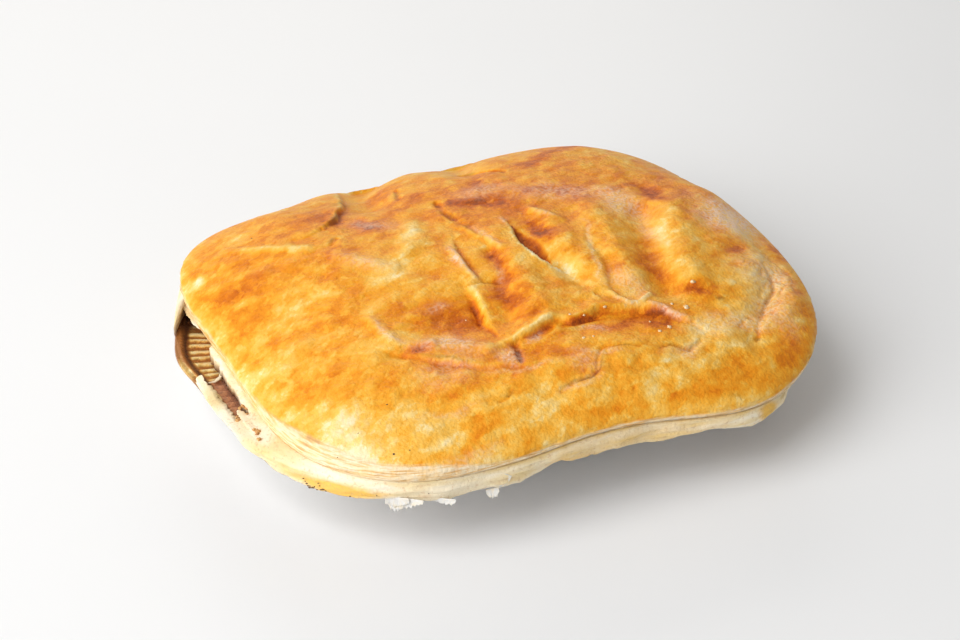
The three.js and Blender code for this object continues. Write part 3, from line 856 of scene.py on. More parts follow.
@dataclass(frozen=True)
class CrustPaint:
    """Where the lid is browned, pale, hazy, flaky and dark, with painted shade and light on its relief and a
    painted sheen.
    """

    golden: float = 0.50
    # Browner marks: the crust's own browning, and painted shade on slopes turned from the light, in valleys
    # and in the dent
    browned_and_shaded: Marks = (
        Dab(22, 30, 46, 20, 0.11, -8), Dab(36, 15, 8, 6, 0.16, -30), Dab(20, 21, 8, 6, 0.1),
        Dab(19, 2, 5, 4, 0.15), Dab(-26, 28, 5, 7, 0.18), Dab(-2, -17, 5, 12, 0.16),
        Dab(28, -23, 4, 7, 0.2), Dab(-12, 4, 4, 8, 0.18), Dab(-46, -40, 9, 8, 0.1),
        Dab(-20, -46, 9, 3, 0.12, -18), Dab(62, 12, 6, 10, 0.16), Dab(0, 22, 7, 5, 0.12),
        Dab(-76, 14, 4, 5, 0.14), Dab(-3, -30, 5, 5, 0.18), Dab(42, -72, 12, 3, 0.14),
        Dab(5, -69, 20, 3, 0.09, -4), Dab(-68, 38, 7, 4, 0.12), Dab(-32, -41, 6, 4, 0.12),
        Dab(-49, 18, 6, 5, 0.1), Dab(-46, 39, 8, 6, 0.1), Dab(-16, 54, 9, 6, 0.1), Dab(41, -28, 4, 5, 0.1),
        Streak(((-80, 25), (-69, 20.5), (-54, 19)), 5, 0.2), Streak(((-79, 16), (-73, 19)), 2.5, 0.12),
        Dab(-76, 36, 2.5, 5, 0.1), Dab(-44, 6, 5, 9, 0.08),
        Streak(((-72, -4.5), (-62, -8), (-48, -10.5)), 2, 0.14),
        Dab(-64, -31, 14, 6, 0.1, -40), Dab(-22, -24, 10, 8, 0.34, -20), Dab(-15, -28, 5, 6, 0.06),
        Dab(-30, -15, 7, 4, 0.14), Dab(-39.5, -31, 6.5, 2.6, 0.27, -20), Dab(-31, -48.5, 3.5, 3, 0.18),
        Dab(-15.5, -42, 2.6, 4, 0.26), Dab(20, -42, 14, 5, 0.26, -8), Dab(10, -41, 8, 3.5, 0.05),
        Dab(28, -45, 5, 4, 0.22), Dab(-5, -47, 9, 3.4, 0.18, -18), Dab(44, -37, 6, 3.4, 0.3, -30),
        Streak(((47.5, 2), (41, -14), (37.7, -22), (36, -28)), 3.6, 0.24),
        Dab(-1.6, -2.5, 2.4, 4, 0.3), Dab(-2, -13, 3, 5, 0.12), Dab(59, 5, 3, 4, 0.1),
        Dab(-64, 32, 11, 8, 0.08), Dab(10, 38, 18, 6, 0.06), Dab(17, 1, 3, 5, 0.22), Dab(29, 8, 5, 5, 0.15),
        Dab(1, -2, 3, 4, 0.15), Dab(-26, 31, 5, 5, 0.14), Dab(-10, -36, 4, 2, 0.12),
        Dab(15, 37, 7, 4, 0.13), Dab(-15, -20, 2, 4, 0.12), Dab(-19, -44, 4, 3, 0.13),
        Dab(23, -22, 5, 4, 0.11), Dab(-76, 38, 3, 4, 0.12), Dab(-12, 28, 7, 4, 0.11, -20),
        Dab(18, -34, 3, 2, 0.11), Dab(-24, -33, 4, 2.5, 0.11), Dab(61, -49, 4, 4, 0.1),
        Dab(-69, -12, 6, 4, 0.14, -25), Dab(-6.5, -21, 3, 8, 0.22), Dab(16.5, 6, 3.2, 5, 0.42),
        Dab(15, 14, 4, 5, 0.2), Dab(10, 26, 9, 4.5, 0.28, -28), Dab(3, 29, 6, 4, 0.18),
        Dab(28, 26, 12, 3, 0.14, -25), Streak(((55, 22), (57, 14), (56.5, 5)), 3.2, 0.32),
        Dab(65.4, -22, 4.5, 2.6, 0.34), Dab(82, -20, 3, 8, 0.26), Dab(53, 56, 13, 3.5, 0.3, 12),
        Dab(40, 49, 6, 3, 0.24, 30), Dab(33, 46, 4, 3.5, 0.26), Dab(-33, 43, 9, 9, 0.16),
        Dab(-40, 20, 7, 4, 0.1), Dab(-25, 30, 10, 4, 0.16, -40), Dab(-10, 40, 14, 5, 0.1),
        Dab(30, -66, 14, 5, 0.07), Dab(58, -66, 10, 6, 0.18), Dab(47, -58, 9, 3, 0.06, -20),
        Streak(((10.6, 8.5), (11.2, 3), (11.6, -2), (12, -8)), 2, 0.2),
        Streak(((0.5, -36), (-5, -38), (-10, -40)), 1.3, 0.22),
        Streak(((1.3, -37.4), (6, -37.6), (11, -37.9), (14.5, -36.6)), 0.9, 0.45),
    )
    # Paler marks: the crust's own paler places, and painted light on slopes turned to the light
    paled_and_lit: Marks = (
        Streak(((-80, 2), (-70, 0), (-58, -4)), 2.6, 0.2),
        Dab(-42, -58, 6, 6, 0.22), Dab(-30, -55, 6, 3, 0.16), Dab(-16, -61, 6, 4, 0.18),
        Dab(22, -64, 6, 4, 0.16), Dab(75, -12, 5, 8, 0.2), Dab(45.5, -4, 5, 8, 0.2),
        Dab(62, -40, 8, 7, 0.24), Dab(-60, -36, 8, 5, 0.14, -30), Dab(-78, -28, 4, 9, 0.12),
        Dab(-70, -38, 9, 6, 0.14, -30), Dab(32, -66, 5, 5, 0.16), Dab(8, -39.5, 5, 1.6, 0.14),
        Dab(-38, 2, 6, 5, 0.12), Dab(-16, -9, 3, 6, 0.12), Dab(52, -47, 5, 4, 0.16),
        Dab(44, -58, 7, 3, 0.24), Streak(((-80, -13), (-73, -15.5), (-64, -13)), 4, 0.26),
        Dab(-79, -22, 3, 5, 0.14), Dab(-78, 11, 3, 5, 0.18), Dab(-77, 33, 2.4, 2.6, 0.36),
        Streak(((-64, 38.4), (-52, 29), (-46, 25)), 1.7, 0.32),
        Dab(-60, 46, 4, 8, 0.12), Dab(-50, 2.5, 5, 1.6, 0.18, -30), Dab(-62, 0.6, 5, 1.5, 0.14),
        Dab(-66, -49, 8, 9, 0.3, 20), Dab(-50, -50, 5, 9, 0.12, 10), Dab(-64, -57, 9, 3.5, 0.2, -35),
        Dab(-28, 6.5, 8, 4, 0.26, 40), Dab(-18.5, 17.5, 6, 3, 0.26, 20), Dab(-15, 23, 2.5, 5, 0.16),
        Streak(((14, -12), (15.2, -18), (17, -24)), 2.6, 0.38),
        Streak(((55, 0), (49, -10), (45, -19), (43.6, -31)), 3, 0.26),
        Dab(14, -67.4, 2.4, 4, 0.34, -60), Dab(22, -59, 6, 2, 0.22, -25), Dab(40, -52.5, 6, 2.5, 0.24),
        Streak(((51.6, -63.8), (48.5, -72)), 1.6, 0.26),
        Dab(-25, -62, 4, 4, 0.14), Dab(-18, 11, 4, 5, 0.22), Dab(36, -58, 6, 4, 0.12),
        Dab(-30, -1, 6, 5, 0.13), Dab(27, -70, 9, 3, 0.12), Dab(55, -16, 4, 6, 0.2),
        Dab(-41, 8, 4, 5, 0.1), Dab(-74, -25, 4, 8, 0.08), Dab(16, -53, 6, 3, 0.12),
        Dab(55, -60, 5, 4, 0.1), Dab(26.5, -10, 3, 7, 0.22), Dab(73, -26, 5, 5, 0.18),
        Dab(15, -11, 5, 4, 0.2), Dab(33, -29, 4, 4, 0.18), Dab(73, -10, 6, 6, 0.14),
        Dab(15, -12.5, 2, 2.5, 0.18), Dab(51, -48, 5, 4, 0.14), Dab(40, -13, 3, 5, 0.13),
        Dab(6, -40, 4, 2, 0.14), Dab(-46, -62, 9, 5, 0.06), Dab(5, -19, 3, 4, 0.1), Dab(7, -50, 5, 3, 0.1),
        Streak(((-13.4, -13), (-13, -18.4), (-14, -25), (-14.6, -28.6)), 1.3, 0.3),
        Streak(((9.4, 9), (8.3, 3), (8.4, -3), (9.4, -8.5), (11.6, -12.4)), 0.7, 0.36),
        Streak(((-22, -38.4), (-17, -37.2), (-11.5, -36.5), (-6, -35.5), (-0.4, -33.6)), 1.1, 0.2),
    )
    # Pinkish-white marks: painted sheen where the glaze reflects the light from behind, and a real dry haze
    # in places
    hazy_and_sheen: Marks = (
        Streak(((-38, -28.5), (-30, -32), (-22.5, -37.5)), 3.2, 0.6),
        Streak(((-44, -13.3), (-42.5, -21), (-41.4, -27)), 1.3, 0.45),
        Dab(-34, -42, 9, 5, 0.22), Dab(-24.5, -15.5, 3, 2, 0.3), Dab(-17.5, -42.5, 3, 3, 0.55),
        Dab(-7, -39.6, 3.4, 1.4, 0.55, 12), Dab(8.5, -41.3, 4, 1.5, 0.45, -25), Dab(0, -53, 4, 3, 0.25),
        Streak(((70, 5), (75, -4), (76.5, -15)), 6.5, 0.8),
        Dab(70, -8, 9, 8, 0.45), Dab(45, 10, 6, 8, 0.5), Dab(45.5, -7, 2.5, 6, 0.3),
        Dab(33, 23, 16, 4.5, 0.34, -22), Dab(12, 34, 8, 4, 0.34), Dab(76, 40, 8, 14, 0.25),
        Streak(((-42, 18), (-36, 11), (-30, 5)), 2.6, 0.34),
        Streak(((-31, 36), (-25, 30), (-18, 24)), 3.2, 0.34),
        Streak(((28.4, -38.3), (31.5, -41.2), (33.3, -45.3), (35, -48)), 1, 0.65),
        Streak(((-10.8, 7), (-11.4, 1), (-11, -4), (-10.6, -9.5)), 1.3, 0.8),
        Streak(((-2.5, -6.3), (-2.6, -13)), 1.2, 0.3), Streak(((-2, 15.4), (-0.3, 9), (2, 1)), 1, 0.4),
        Streak(((19, 16), (24.4, 7.4)), 1.4, 0.4), Streak(((8.8, 15), (9.2, 8)), 0.8, 0.45),
        Dab(62, -52, 5, 8, 0.25), Dab(67, -33, 9, 10, 0.3),
    )
    flaky: Marks = (
        Dab(27, -29, 4, 6, 0.34), Streak(((20.5, -31), (22.5, -36), (26.3, -37), (30.6, -34.4)), 0.9, 0.75),
        Streak(((30, 4), (25.6, -8.6), (24.1, -17.4), (21.6, -27.2)), 0.7, 0.5),
        Dab(70, -36, 5, 8, 0.55), Dab(52, -52.5, 6, 3, 0.5, -10), Dab(40, -52, 7, 3, 0.4),
        Dab(62, -48, 6, 5, 0.34), Streak(((22, -57), (29.5, -59.6), (35, -56.6)), 1.6, 0.4),
        Streak(((-10, -59.6), (-5, -58.9), (2.6, -57.6)), 1, 0.34), Dab(5, -51, 8, 1, 0.3, -20),
        Streak(((-25, -46), (-16, -48.6), (-5.6, -51.5)), 0.8, 0.34),
        Streak(((-51, -51), (-40, -55), (-30, -55)), 1, 0.25),
        Streak(((-49, -66), (-40, -68), (-30, -67)), 1.2, 0.3),
    )
    # Dark lines: painted shade in slits and cracks, and a few dark spots of the crust's own
    dark: Marks = (
        Streak(((10.2, 9), (9.4, 3), (9.5, -3), (10.5, -7.5), (11.8, -10.6)), 0.8, 0.5),
        Streak(((10.8, 7.5), (10.4, 2), (10.6, -3), (11.4, -8)), 1, 0.12),
        Streak(((-9, 8), (-9.5, 4)), 0.7, 0.2), Streak(((-9.2, -1), (-9.6, -6), (-9.4, -11)), 0.6, 0.15),
        Streak(((-37, 35.4), (-33.5, 37.7), (-29, 43.5)), 0.8, 0.6),
        Streak(((-28, 51), (-23, 53.5)), 1.2, 0.35), Streak(((-40.1, 24), (-37.3, 27.1)), 0.6, 0.4),
        Streak(((-10, -58.7), (-5, -57.9), (-0.6, -58.2), (2.6, -56.6), (6.7, -51.6)), 0.35, 0.6),
        Streak(((22, -55.6), (25.6, -55.2), (29.5, -58.6), (34.3, -55.6)), 0.35, 0.45),
        Streak(((-26, -55.7), (-23.1, -56.1), (-21.3, -54.2)), 0.4, 0.45),
        Streak(((7.6, -51.2), (13.3, -51.8), (17, -53.4)), 0.3, 0.35),
        Streak(((70.4, -30.5), (67.7, -40.2), (60.3, -47.3), (55.2, -52.5)), 0.6, 0.25),
        Streak(((-39, -33), (-36.5, -35.2), (-32, -38), (-27, -43)), 0.45, 0.45),
        Streak(((-12.8, -39), (-14, -42), (-14.7, -45.5)), 0.5, 0.5),
        Streak(((-13.5, -10.6), (-9.5, -11.6), (-4.7, -12.7)), 0.4, 0.3),
        Streak(((-3.4, 33), (-2.9, 30)), 0.7, 0.5), Streak(((-3.6, 26), (-2.2, 21)), 0.7, 0.45),
        Streak(((-2.3, 16.1), (-0.7, 16.6)), 0.6, 0.45),
        Streak(((-7.6, 50.8), (-9, 47), (-10.4, 43.5)), 0.8, 0.35),
        Streak(((15.4, 55.3), (18.9, 52.2)), 0.9, 0.45), Streak(((21.3, 46.8), (24.9, 43.8)), 0.8, 0.35),
        Dab(48.3, -42.9, 1.4, 0.8, 0.6), Dab(50.7, -58.3, 0.9, 0.7, 0.6),
        Streak(((33.6, -73.4), (38.2, -75.1)), 0.6, 0.45),
    )
    warp: float = 1.8
    fine_warp: float = 0.4
    blotch: float = 0.08
    mottle: float = 0.06
    # Painted shade in the relief's hollows and painted light on its crests
    hollow_shading: float = 0.34
    hollow_reach: float = 1.6
    hollow_limits: Pair = (-0.14, 0.16)
    slit_bake: float = 0.34
    seed: int = 29

    def channels(self, x: Array, y: Array, relief: CrustRelief) -> Paints:
        """Work out the crust's painted values.

        Args:
            x: places along X.
            y: places along Y.
            relief: the crust's relief; its hollows get painted shade and its crests painted light.

        Returns:
            The values of each paint at each place.
        """
        noise = Noise(self.seed)
        broad_x = x + self.warp * noise.fractal(x, y, z=5.0, size=8, octaves=4)
        broad_y = y + self.warp * noise.fractal(x, y, z=60.0, size=8, octaves=4)
        fine_x, fine_y = mix(x, broad_x, self.fine_warp), mix(y, broad_y, self.fine_warp)
        blotches = noise.fractal(0.5 * x + 0.15 * y, y - 0.25 * x, z=17.0, size=7, octaves=5)
        speckles = noise.fractal(x, y, z=27.0, size=2.4, octaves=3)
        mottled = self.blotch * np.tanh(2 * blotches) + self.mottle * speckles
        # Painted shade and light: hollows made browner, crests paler
        hollow_shade = np.clip(self.hollow_shading * relief.hollowness(x, y, self.hollow_reach), *self.hollow_limits)
        bake_and_shade = self.golden + mottled + hollow_shade + total_strength(self.browned_and_shaded, broad_x, broad_y)
        bake_and_shade = bake_and_shade - total_strength(self.paled_and_lit, broad_x, broad_y) + self.slit_bake * relief.openness(x, y)
        return {
            Paint.BAKE_AND_SHADE: bake_and_shade,
            Paint.HAZE_AND_SHEEN: total_strength(self.hazy_and_sheen, broad_x, broad_y),
            Paint.FLAKE: total_strength(self.flaky, broad_x, broad_y),
            Paint.CHAR_AND_SHADE: total_strength(self.dark, fine_x, fine_y),
        }


# Finishes


class Graph:
    """A material's nodes, with short calls for those that the finishes share."""

    def __init__(self, name: str) -> None:
        """Start a material with a principled shader and the piece's own coordinates.

        Args:
            name: the material's name.
        """
        self.material = bpy.data.materials.new(name)
        self.material.use_nodes = True
        self.tree = self.material.node_tree
        self.shader = self.tree.nodes["Principled BSDF"]
        self.place = self.tree.nodes.new("ShaderNodeTexCoord").outputs["Object"]

    def feed(self, target: Socket, value: Value) -> None:
        """Link a socket to another, or set it to a plain value.

        Args:
            target: the socket.
            value: the socket to link to it, or the number or colour to set.
        """
        if isinstance(value, Socket):
            self.tree.links.new(value, target)
        elif isinstance(value, tuple):
            target.default_value = (*value, 1.0)
        else:
            target.default_value = value

    def fill(self, node: bpy.types.Node, values: dict[str, Value]) -> None:
        """Feed a node's sockets, named with underscores for spaces."""
        for name, value in values.items():
            self.feed(node.inputs[name.replace("_", " ")], value)

    def set(self, **values: Value) -> None:
        """Feed the shader's sockets."""
        self.fill(self.shader, values)

    def add(self, kind: str, **values: Value) -> bpy.types.Node:
        """Add a node and feed its sockets.

        Args:
            kind: the end of the node's type name.
            values: what its sockets get, named with underscores for spaces.

        Returns:
            The node.
        """
        node = self.tree.nodes.new("ShaderNode" + kind)
        self.fill(node, values)
        return node

    def painted(self, paint: Paint) -> Socket:
        """Read a value painted on the mesh.

        Args:
            paint: which value.

        Returns:
            The value.
        """
        node = self.add("Attribute")
        node.attribute_name = paint.value
        return node.outputs["Fac"]

    def noise(
        self, size: float, detail: float = 3.0, stretch: Triple = (1, 1, 1), turn: float = 0.0
    ) -> Socket:
        """Make random waves.

        Args:
            size: the waves' size in mm.
            detail: how much finer noise is added.
            stretch: how much longer the waves are along each axis.
            turn: degrees about Z by which the stretch is turned.

        Returns:
            A socket from 0 to 1, mostly near 0.5.
        """
        mapping = self.add("Mapping", Vector=self.place)
        mapping.vector_type = "TEXTURE"
        mapping.inputs["Scale"].default_value = stretch
        mapping.inputs["Rotation"].default_value = (0, 0, math.radians(turn))
        place = mapping.outputs["Vector"]
        return self.add("TexNoise", Vector=place, Scale=1 / (size * MM), Detail=detail).outputs[0]

    def math(self, operation: str, a: Socket | float, b: Socket | float) -> Socket:
        """Combine two values.

        Args:
            operation: how they are combined.
            a: the first value.
            b: the second value.

        Returns:
            The result.
        """
        node = self.add("Math")
        node.operation = operation
        self.feed(node.inputs[0], a)
        self.feed(node.inputs[1], b)
        return node.outputs[0]

    def plus(self, a: Socket | float, b: Socket | float) -> Socket:
        """Add two values."""
        return self.math("ADD", a, b)

    def times(self, a: Socket | float, b: Socket | float) -> Socket:
        """Multiply two values."""
        return self.math("MULTIPLY", a, b)

    def add_waves(self, value: Socket | float, waves: Socket, swing: float) -> Socket:
        """Add noise to a value, swinging evenly both ways."""
        return self.plus(value, self.times(self.plus(waves, -0.5), swing))

    def ramp(self, factor: Socket, stops: Stops) -> Socket:
        """Turn a value into a colour through a row of stops.

        Args:
            factor: the value.
            stops: values from 0 to 1, each with its colour.

        Returns:
            The colour.
        """
        node = self.add("ValToRGB", Fac=factor)
        elements = node.color_ramp.elements
        while len(elements) < len(stops):
            elements.new(1.0)
        for element, (position, colour) in zip(elements, stops):
            element.position = position
            element.color = (*colour, 1.0)
        return node.outputs["Color"]

    def span(self, factor: Socket, low: float, high: float, start: float = 0.0, end: float = 1.0) -> Socket:
        """Map a value's range onto another, held at its ends."""
        node = self.add("MapRange", Value=factor, From_Min=low, From_Max=high, To_Min=start, To_Max=end)
        return node.outputs["Result"]

    def blend(self, factor: Socket, a: Socket | Colour, b: Socket | Colour) -> Socket:
        """Blend two colours by a factor.

        Args:
            factor: 0 for the first colour and 1 for the second.
            a: the first colour.
            b: the second colour.

        Returns:
            The blended colour.
        """
        node = self.add("Mix")
        node.data_type = "RGBA"
        self.feed(node.inputs[0], factor)
        self.feed(node.inputs[6], a)
        self.feed(node.inputs[7], b)
        return node.outputs[2]

    def bump(self, height: Socket, depth: float, strength: float) -> None:
        """Roughen the surface by a height from 0 to 1 that stands for a depth in mm."""
        node = self.add("Bump", Strength=strength, Distance=depth * MM, Height=height)
        self.set(Normal=node.outputs["Normal"])


@dataclass(frozen=True)
class GlazedCrust:
    """Egg-glazed puff pastry, from cream to dark brown."""

    stops: Stops = (
        (0.00, (0.93, 0.78, 0.48)), (0.15, (0.94, 0.67, 0.25)), (0.30, (0.93, 0.53, 0.095)),
        (0.45, (0.90, 0.41, 0.034)), (0.60, (0.84, 0.295, 0.012)), (0.75, (0.70, 0.187, 0.007)),
        (0.90, (0.51, 0.104, 0.006)), (1.00, (0.31, 0.060, 0.007)),
    )
    haze_and_sheen: Colour = (0.87, 0.60, 0.42)
    dough: Colour = (0.90, 0.69, 0.42)
    char_and_shade_colour: Colour = (0.085, 0.026, 0.012)
    leaves: Stops = (
        (0.30, (0.60, 0.33, 0.14)), (0.40, (0.80, 0.52, 0.24)), (0.48, (0.90, 0.68, 0.40)),
        (0.56, (0.93, 0.80, 0.58)), (0.66, (0.86, 0.58, 0.28)),
    )

    def material(self) -> Material:
        """Build the crust's material.

        Returns:
            The material, which reads the lid's paints.
        """
        graph = Graph("glazed_crust")
        bake_and_shade = graph.painted(Paint.BAKE_AND_SHADE)
        bake_and_shade = graph.add_waves(bake_and_shade, graph.noise(4, 7, (1.8, 1, 1), 15), 0.42)
        bake_and_shade = graph.add_waves(bake_and_shade, graph.noise(1.1, 5), 0.24)
        bake_and_shade = graph.add_waves(bake_and_shade, graph.noise(0.35, 2), 0.08)
        bake_and_shade = graph.plus(bake_and_shade, self.glaze_patches(graph))
        crust = graph.ramp(bake_and_shade, self.stops)
        spotted = graph.span(graph.noise(0.9, 6), 0.40, 0.60, 0.35, 1.45)
        # Painted sheen and haze: the pinkish-white colour of the haze-and-sheen paint
        crust = graph.blend(graph.times(graph.painted(Paint.HAZE_AND_SHEEN), spotted), crust, self.haze_and_sheen)
        crust = graph.blend(graph.times(graph.painted(Paint.FLAKE), spotted), crust, self.dough)
        layers = graph.noise(0.55, 3, (14, 14, 1))
        edge = graph.ramp(layers, self.leaves)
        worn = graph.span(graph.noise(2.5, 5), 0.35, 0.55, 0.7, 1.0)
        bare = graph.times(graph.painted(Paint.EDGE), worn)
        crust = graph.blend(bare, crust, edge)
        # The dark colour lays painted shade in slits, cracks and the seam, and real dark spots
        crust = graph.blend(graph.painted(Paint.CHAR_AND_SHADE), crust, self.char_and_shade_colour)
        rough = graph.add_waves(0.46, graph.noise(3.0, 5), 0.35)
        rough = graph.plus(rough, graph.times(graph.painted(Paint.FLAKE), 0.25))
        rough = graph.plus(rough, graph.times(bare, 0.2))
        graph.set(Base_Color=crust, Roughness=rough, Specular_IOR_Level=0.14)
        graph.set(Coat_Weight=0.06, Coat_Roughness=0.35)
        grain = graph.add_waves(graph.noise(0.9, 2), graph.noise(2.4, 4, (1.8, 1, 1), 15), 1.1)
        relief = graph.plus(grain, graph.times(layers, bare))
        graph.bump(relief, depth=0.6, strength=0.48)
        return graph.material

    @staticmethod
    def glaze_patches(graph: Graph) -> Socket:
        """Make patches with crisp, ragged edges where the glaze has cracked and lifted.

        Args:
            graph: the crust's nodes.

        Returns:
            What the patches add to the baking.
        """
        broad = graph.span(graph.noise(7, 9, (1.7, 1, 1), 15), 0.45, 0.48, 0.06, -0.03)
        small = graph.span(graph.noise(3, 8, (1.4, 1, 1), 40), 0.56, 0.59, 0.0, -0.10)
        return graph.plus(broad, small)


@dataclass(frozen=True)
class PalePastry:
    """Matt, hardly browned shortcrust with golden and brown patches."""

    cream: Colour = (0.86, 0.67, 0.35)
    white: Colour = (0.93, 0.82, 0.62)
    tan: Colour = (0.64, 0.40, 0.20)
    gold: Colour = (0.90, 0.54, 0.12)
    juice: Colour = (0.22, 0.085, 0.045)

    def material(self) -> Material:
        """Build the pastry's material.

        Returns:
            The material, which reads the base's paints.
        """
        graph = Graph("pale_pastry")
        layers = graph.noise(1.8, 6, (6, 6, 1))
        pastry = graph.blend(graph.span(layers, 0.40, 0.62), self.cream, self.white)
        gilded = graph.add_waves(graph.painted(Paint.BAKE_AND_SHADE), graph.noise(3, 5), 0.35)
        pastry = graph.blend(graph.painted(Paint.FLAKE), pastry, self.white)
        pastry = graph.blend(graph.span(gilded, 0.15, 0.75), pastry, self.gold)
        pastry = graph.blend(graph.span(graph.noise(0.9, 6), 0.56, 0.70, 0, 0.55), pastry, self.tan)
        pastry = graph.blend(graph.span(layers, 0.38, 0.28, 0, 0.5), pastry, self.tan)
        stained = graph.add_waves(graph.painted(Paint.CHAR_AND_SHADE), graph.noise(1.5, 5), 0.4)
        pastry = graph.blend(graph.span(stained, 0.15, 0.85), pastry, self.juice)
        graph.set(Base_Color=pastry, Roughness=graph.add_waves(0.68, layers, 0.3))
        graph.set(Specular_IOR_Level=0.2)
        graph.bump(graph.add_waves(layers, graph.noise(0.8, 5), 0.8), depth=0.6, strength=0.5)
        return graph.material


@dataclass(frozen=True)
class ThinPastry:
    """Paper-thin flakes of unbrowned pastry."""

    pale: Colour = (0.74, 0.72, 0.68)
    cream: Colour = (0.80, 0.72, 0.58)

    def material(self) -> Material:
        """Build the flakes' material.

        Returns:
            The material.
        """
        graph = Graph("thin_pastry")
        veins = graph.noise(1.2, 5)
        graph.set(Base_Color=graph.blend(graph.span(veins, 0.45, 0.65), self.pale, self.cream))
        graph.set(Roughness=graph.add_waves(0.6, veins, 0.3))
        graph.bump(veins, depth=0.3, strength=0.5)
        return graph.material


@dataclass(frozen=True)
class BakedFoil:
    """Aluminium foil, gold lacquered inside and on the rim, stained by juices, with painted highlights on
    the flutes and the rim and painted shade in the grooves, the crease and a corner.
    """

    gold: Colour = (0.86, 0.55, 0.15)
    painted_highlight: Colour = (1.0, 0.86, 0.46)
    bronze: Colour = (0.42, 0.17, 0.045)
    silver: Colour = (0.78, 0.77, 0.75)
    burnt: Colour = (0.12, 0.045, 0.02)
    juice: Colour = (0.60, 0.29, 0.17)

    def material(self) -> Material:
        """Build the foil's material.

        Returns:
            The material, gold inside and silver outside.
        """
        graph = Graph("baked_foil")
        # Painted highlights on the flutes' crests and painted shade in their grooves, from dark bronze to
        # bright gold
        shine = graph.add_waves(graph.painted(Paint.HAZE_AND_SHEEN), graph.noise(1.6, 4), 1.6)
        lacquer = graph.ramp(shine, ((0.10, self.bronze), (0.55, self.gold), (0.95, self.painted_highlight)))
        tarnish = graph.add_waves(graph.painted(Paint.BAKE_AND_SHADE), graph.noise(2.5, 5), 1.2)
        lacquer = graph.blend(graph.span(tarnish, 0.1, 0.9), lacquer, self.bronze)
        soaked = graph.add_waves(graph.painted(Paint.EDGE), graph.noise(2.0, 5), 0.6)
        lacquer = graph.blend(graph.span(soaked, 0.2, 0.8), lacquer, self.juice)
        foil = graph.blend(graph.painted(Paint.FLAKE), lacquer, self.silver)
        # The burnt colour here lays the painted shade along the crease and in the far corner
        stained = graph.add_waves(graph.painted(Paint.CHAR_AND_SHADE), graph.noise(2.0, 5), 0.5)
        foil = graph.blend(graph.span(stained, 0.2, 0.8), foil, self.burnt)
        rough = graph.add_waves(0.27, graph.noise(2.5, 4), 0.25)
        metal = graph.span(graph.painted(Paint.FLAKE), 0, 1, 0.45, 0.95)
        graph.set(Base_Color=foil, Metallic=metal, Roughness=rough)
        graph.bump(graph.noise(1.2, 4), depth=0.15, strength=0.4)
        return graph.material


@dataclass(frozen=True)
class SpeckFinish:
    """Small loose bits of one colour, lighter and darker by turns."""

    name: str
    colour: Colour
    shade: Colour
    roughness: float

    def material(self) -> Material:
        """Build the bits' material.

        Returns:
            The material.
        """
        graph = Graph(self.name)
        waves = graph.noise(0.7, 4)
        graph.set(Base_Color=graph.blend(graph.span(waves, 0.35, 0.65), self.colour, self.shade))
        graph.set(Roughness=graph.add_waves(self.roughness, waves, 0.2))
        graph.bump(graph.noise(0.3, 3), depth=0.1, strength=0.4)
        return graph.material


# The pie's pieces


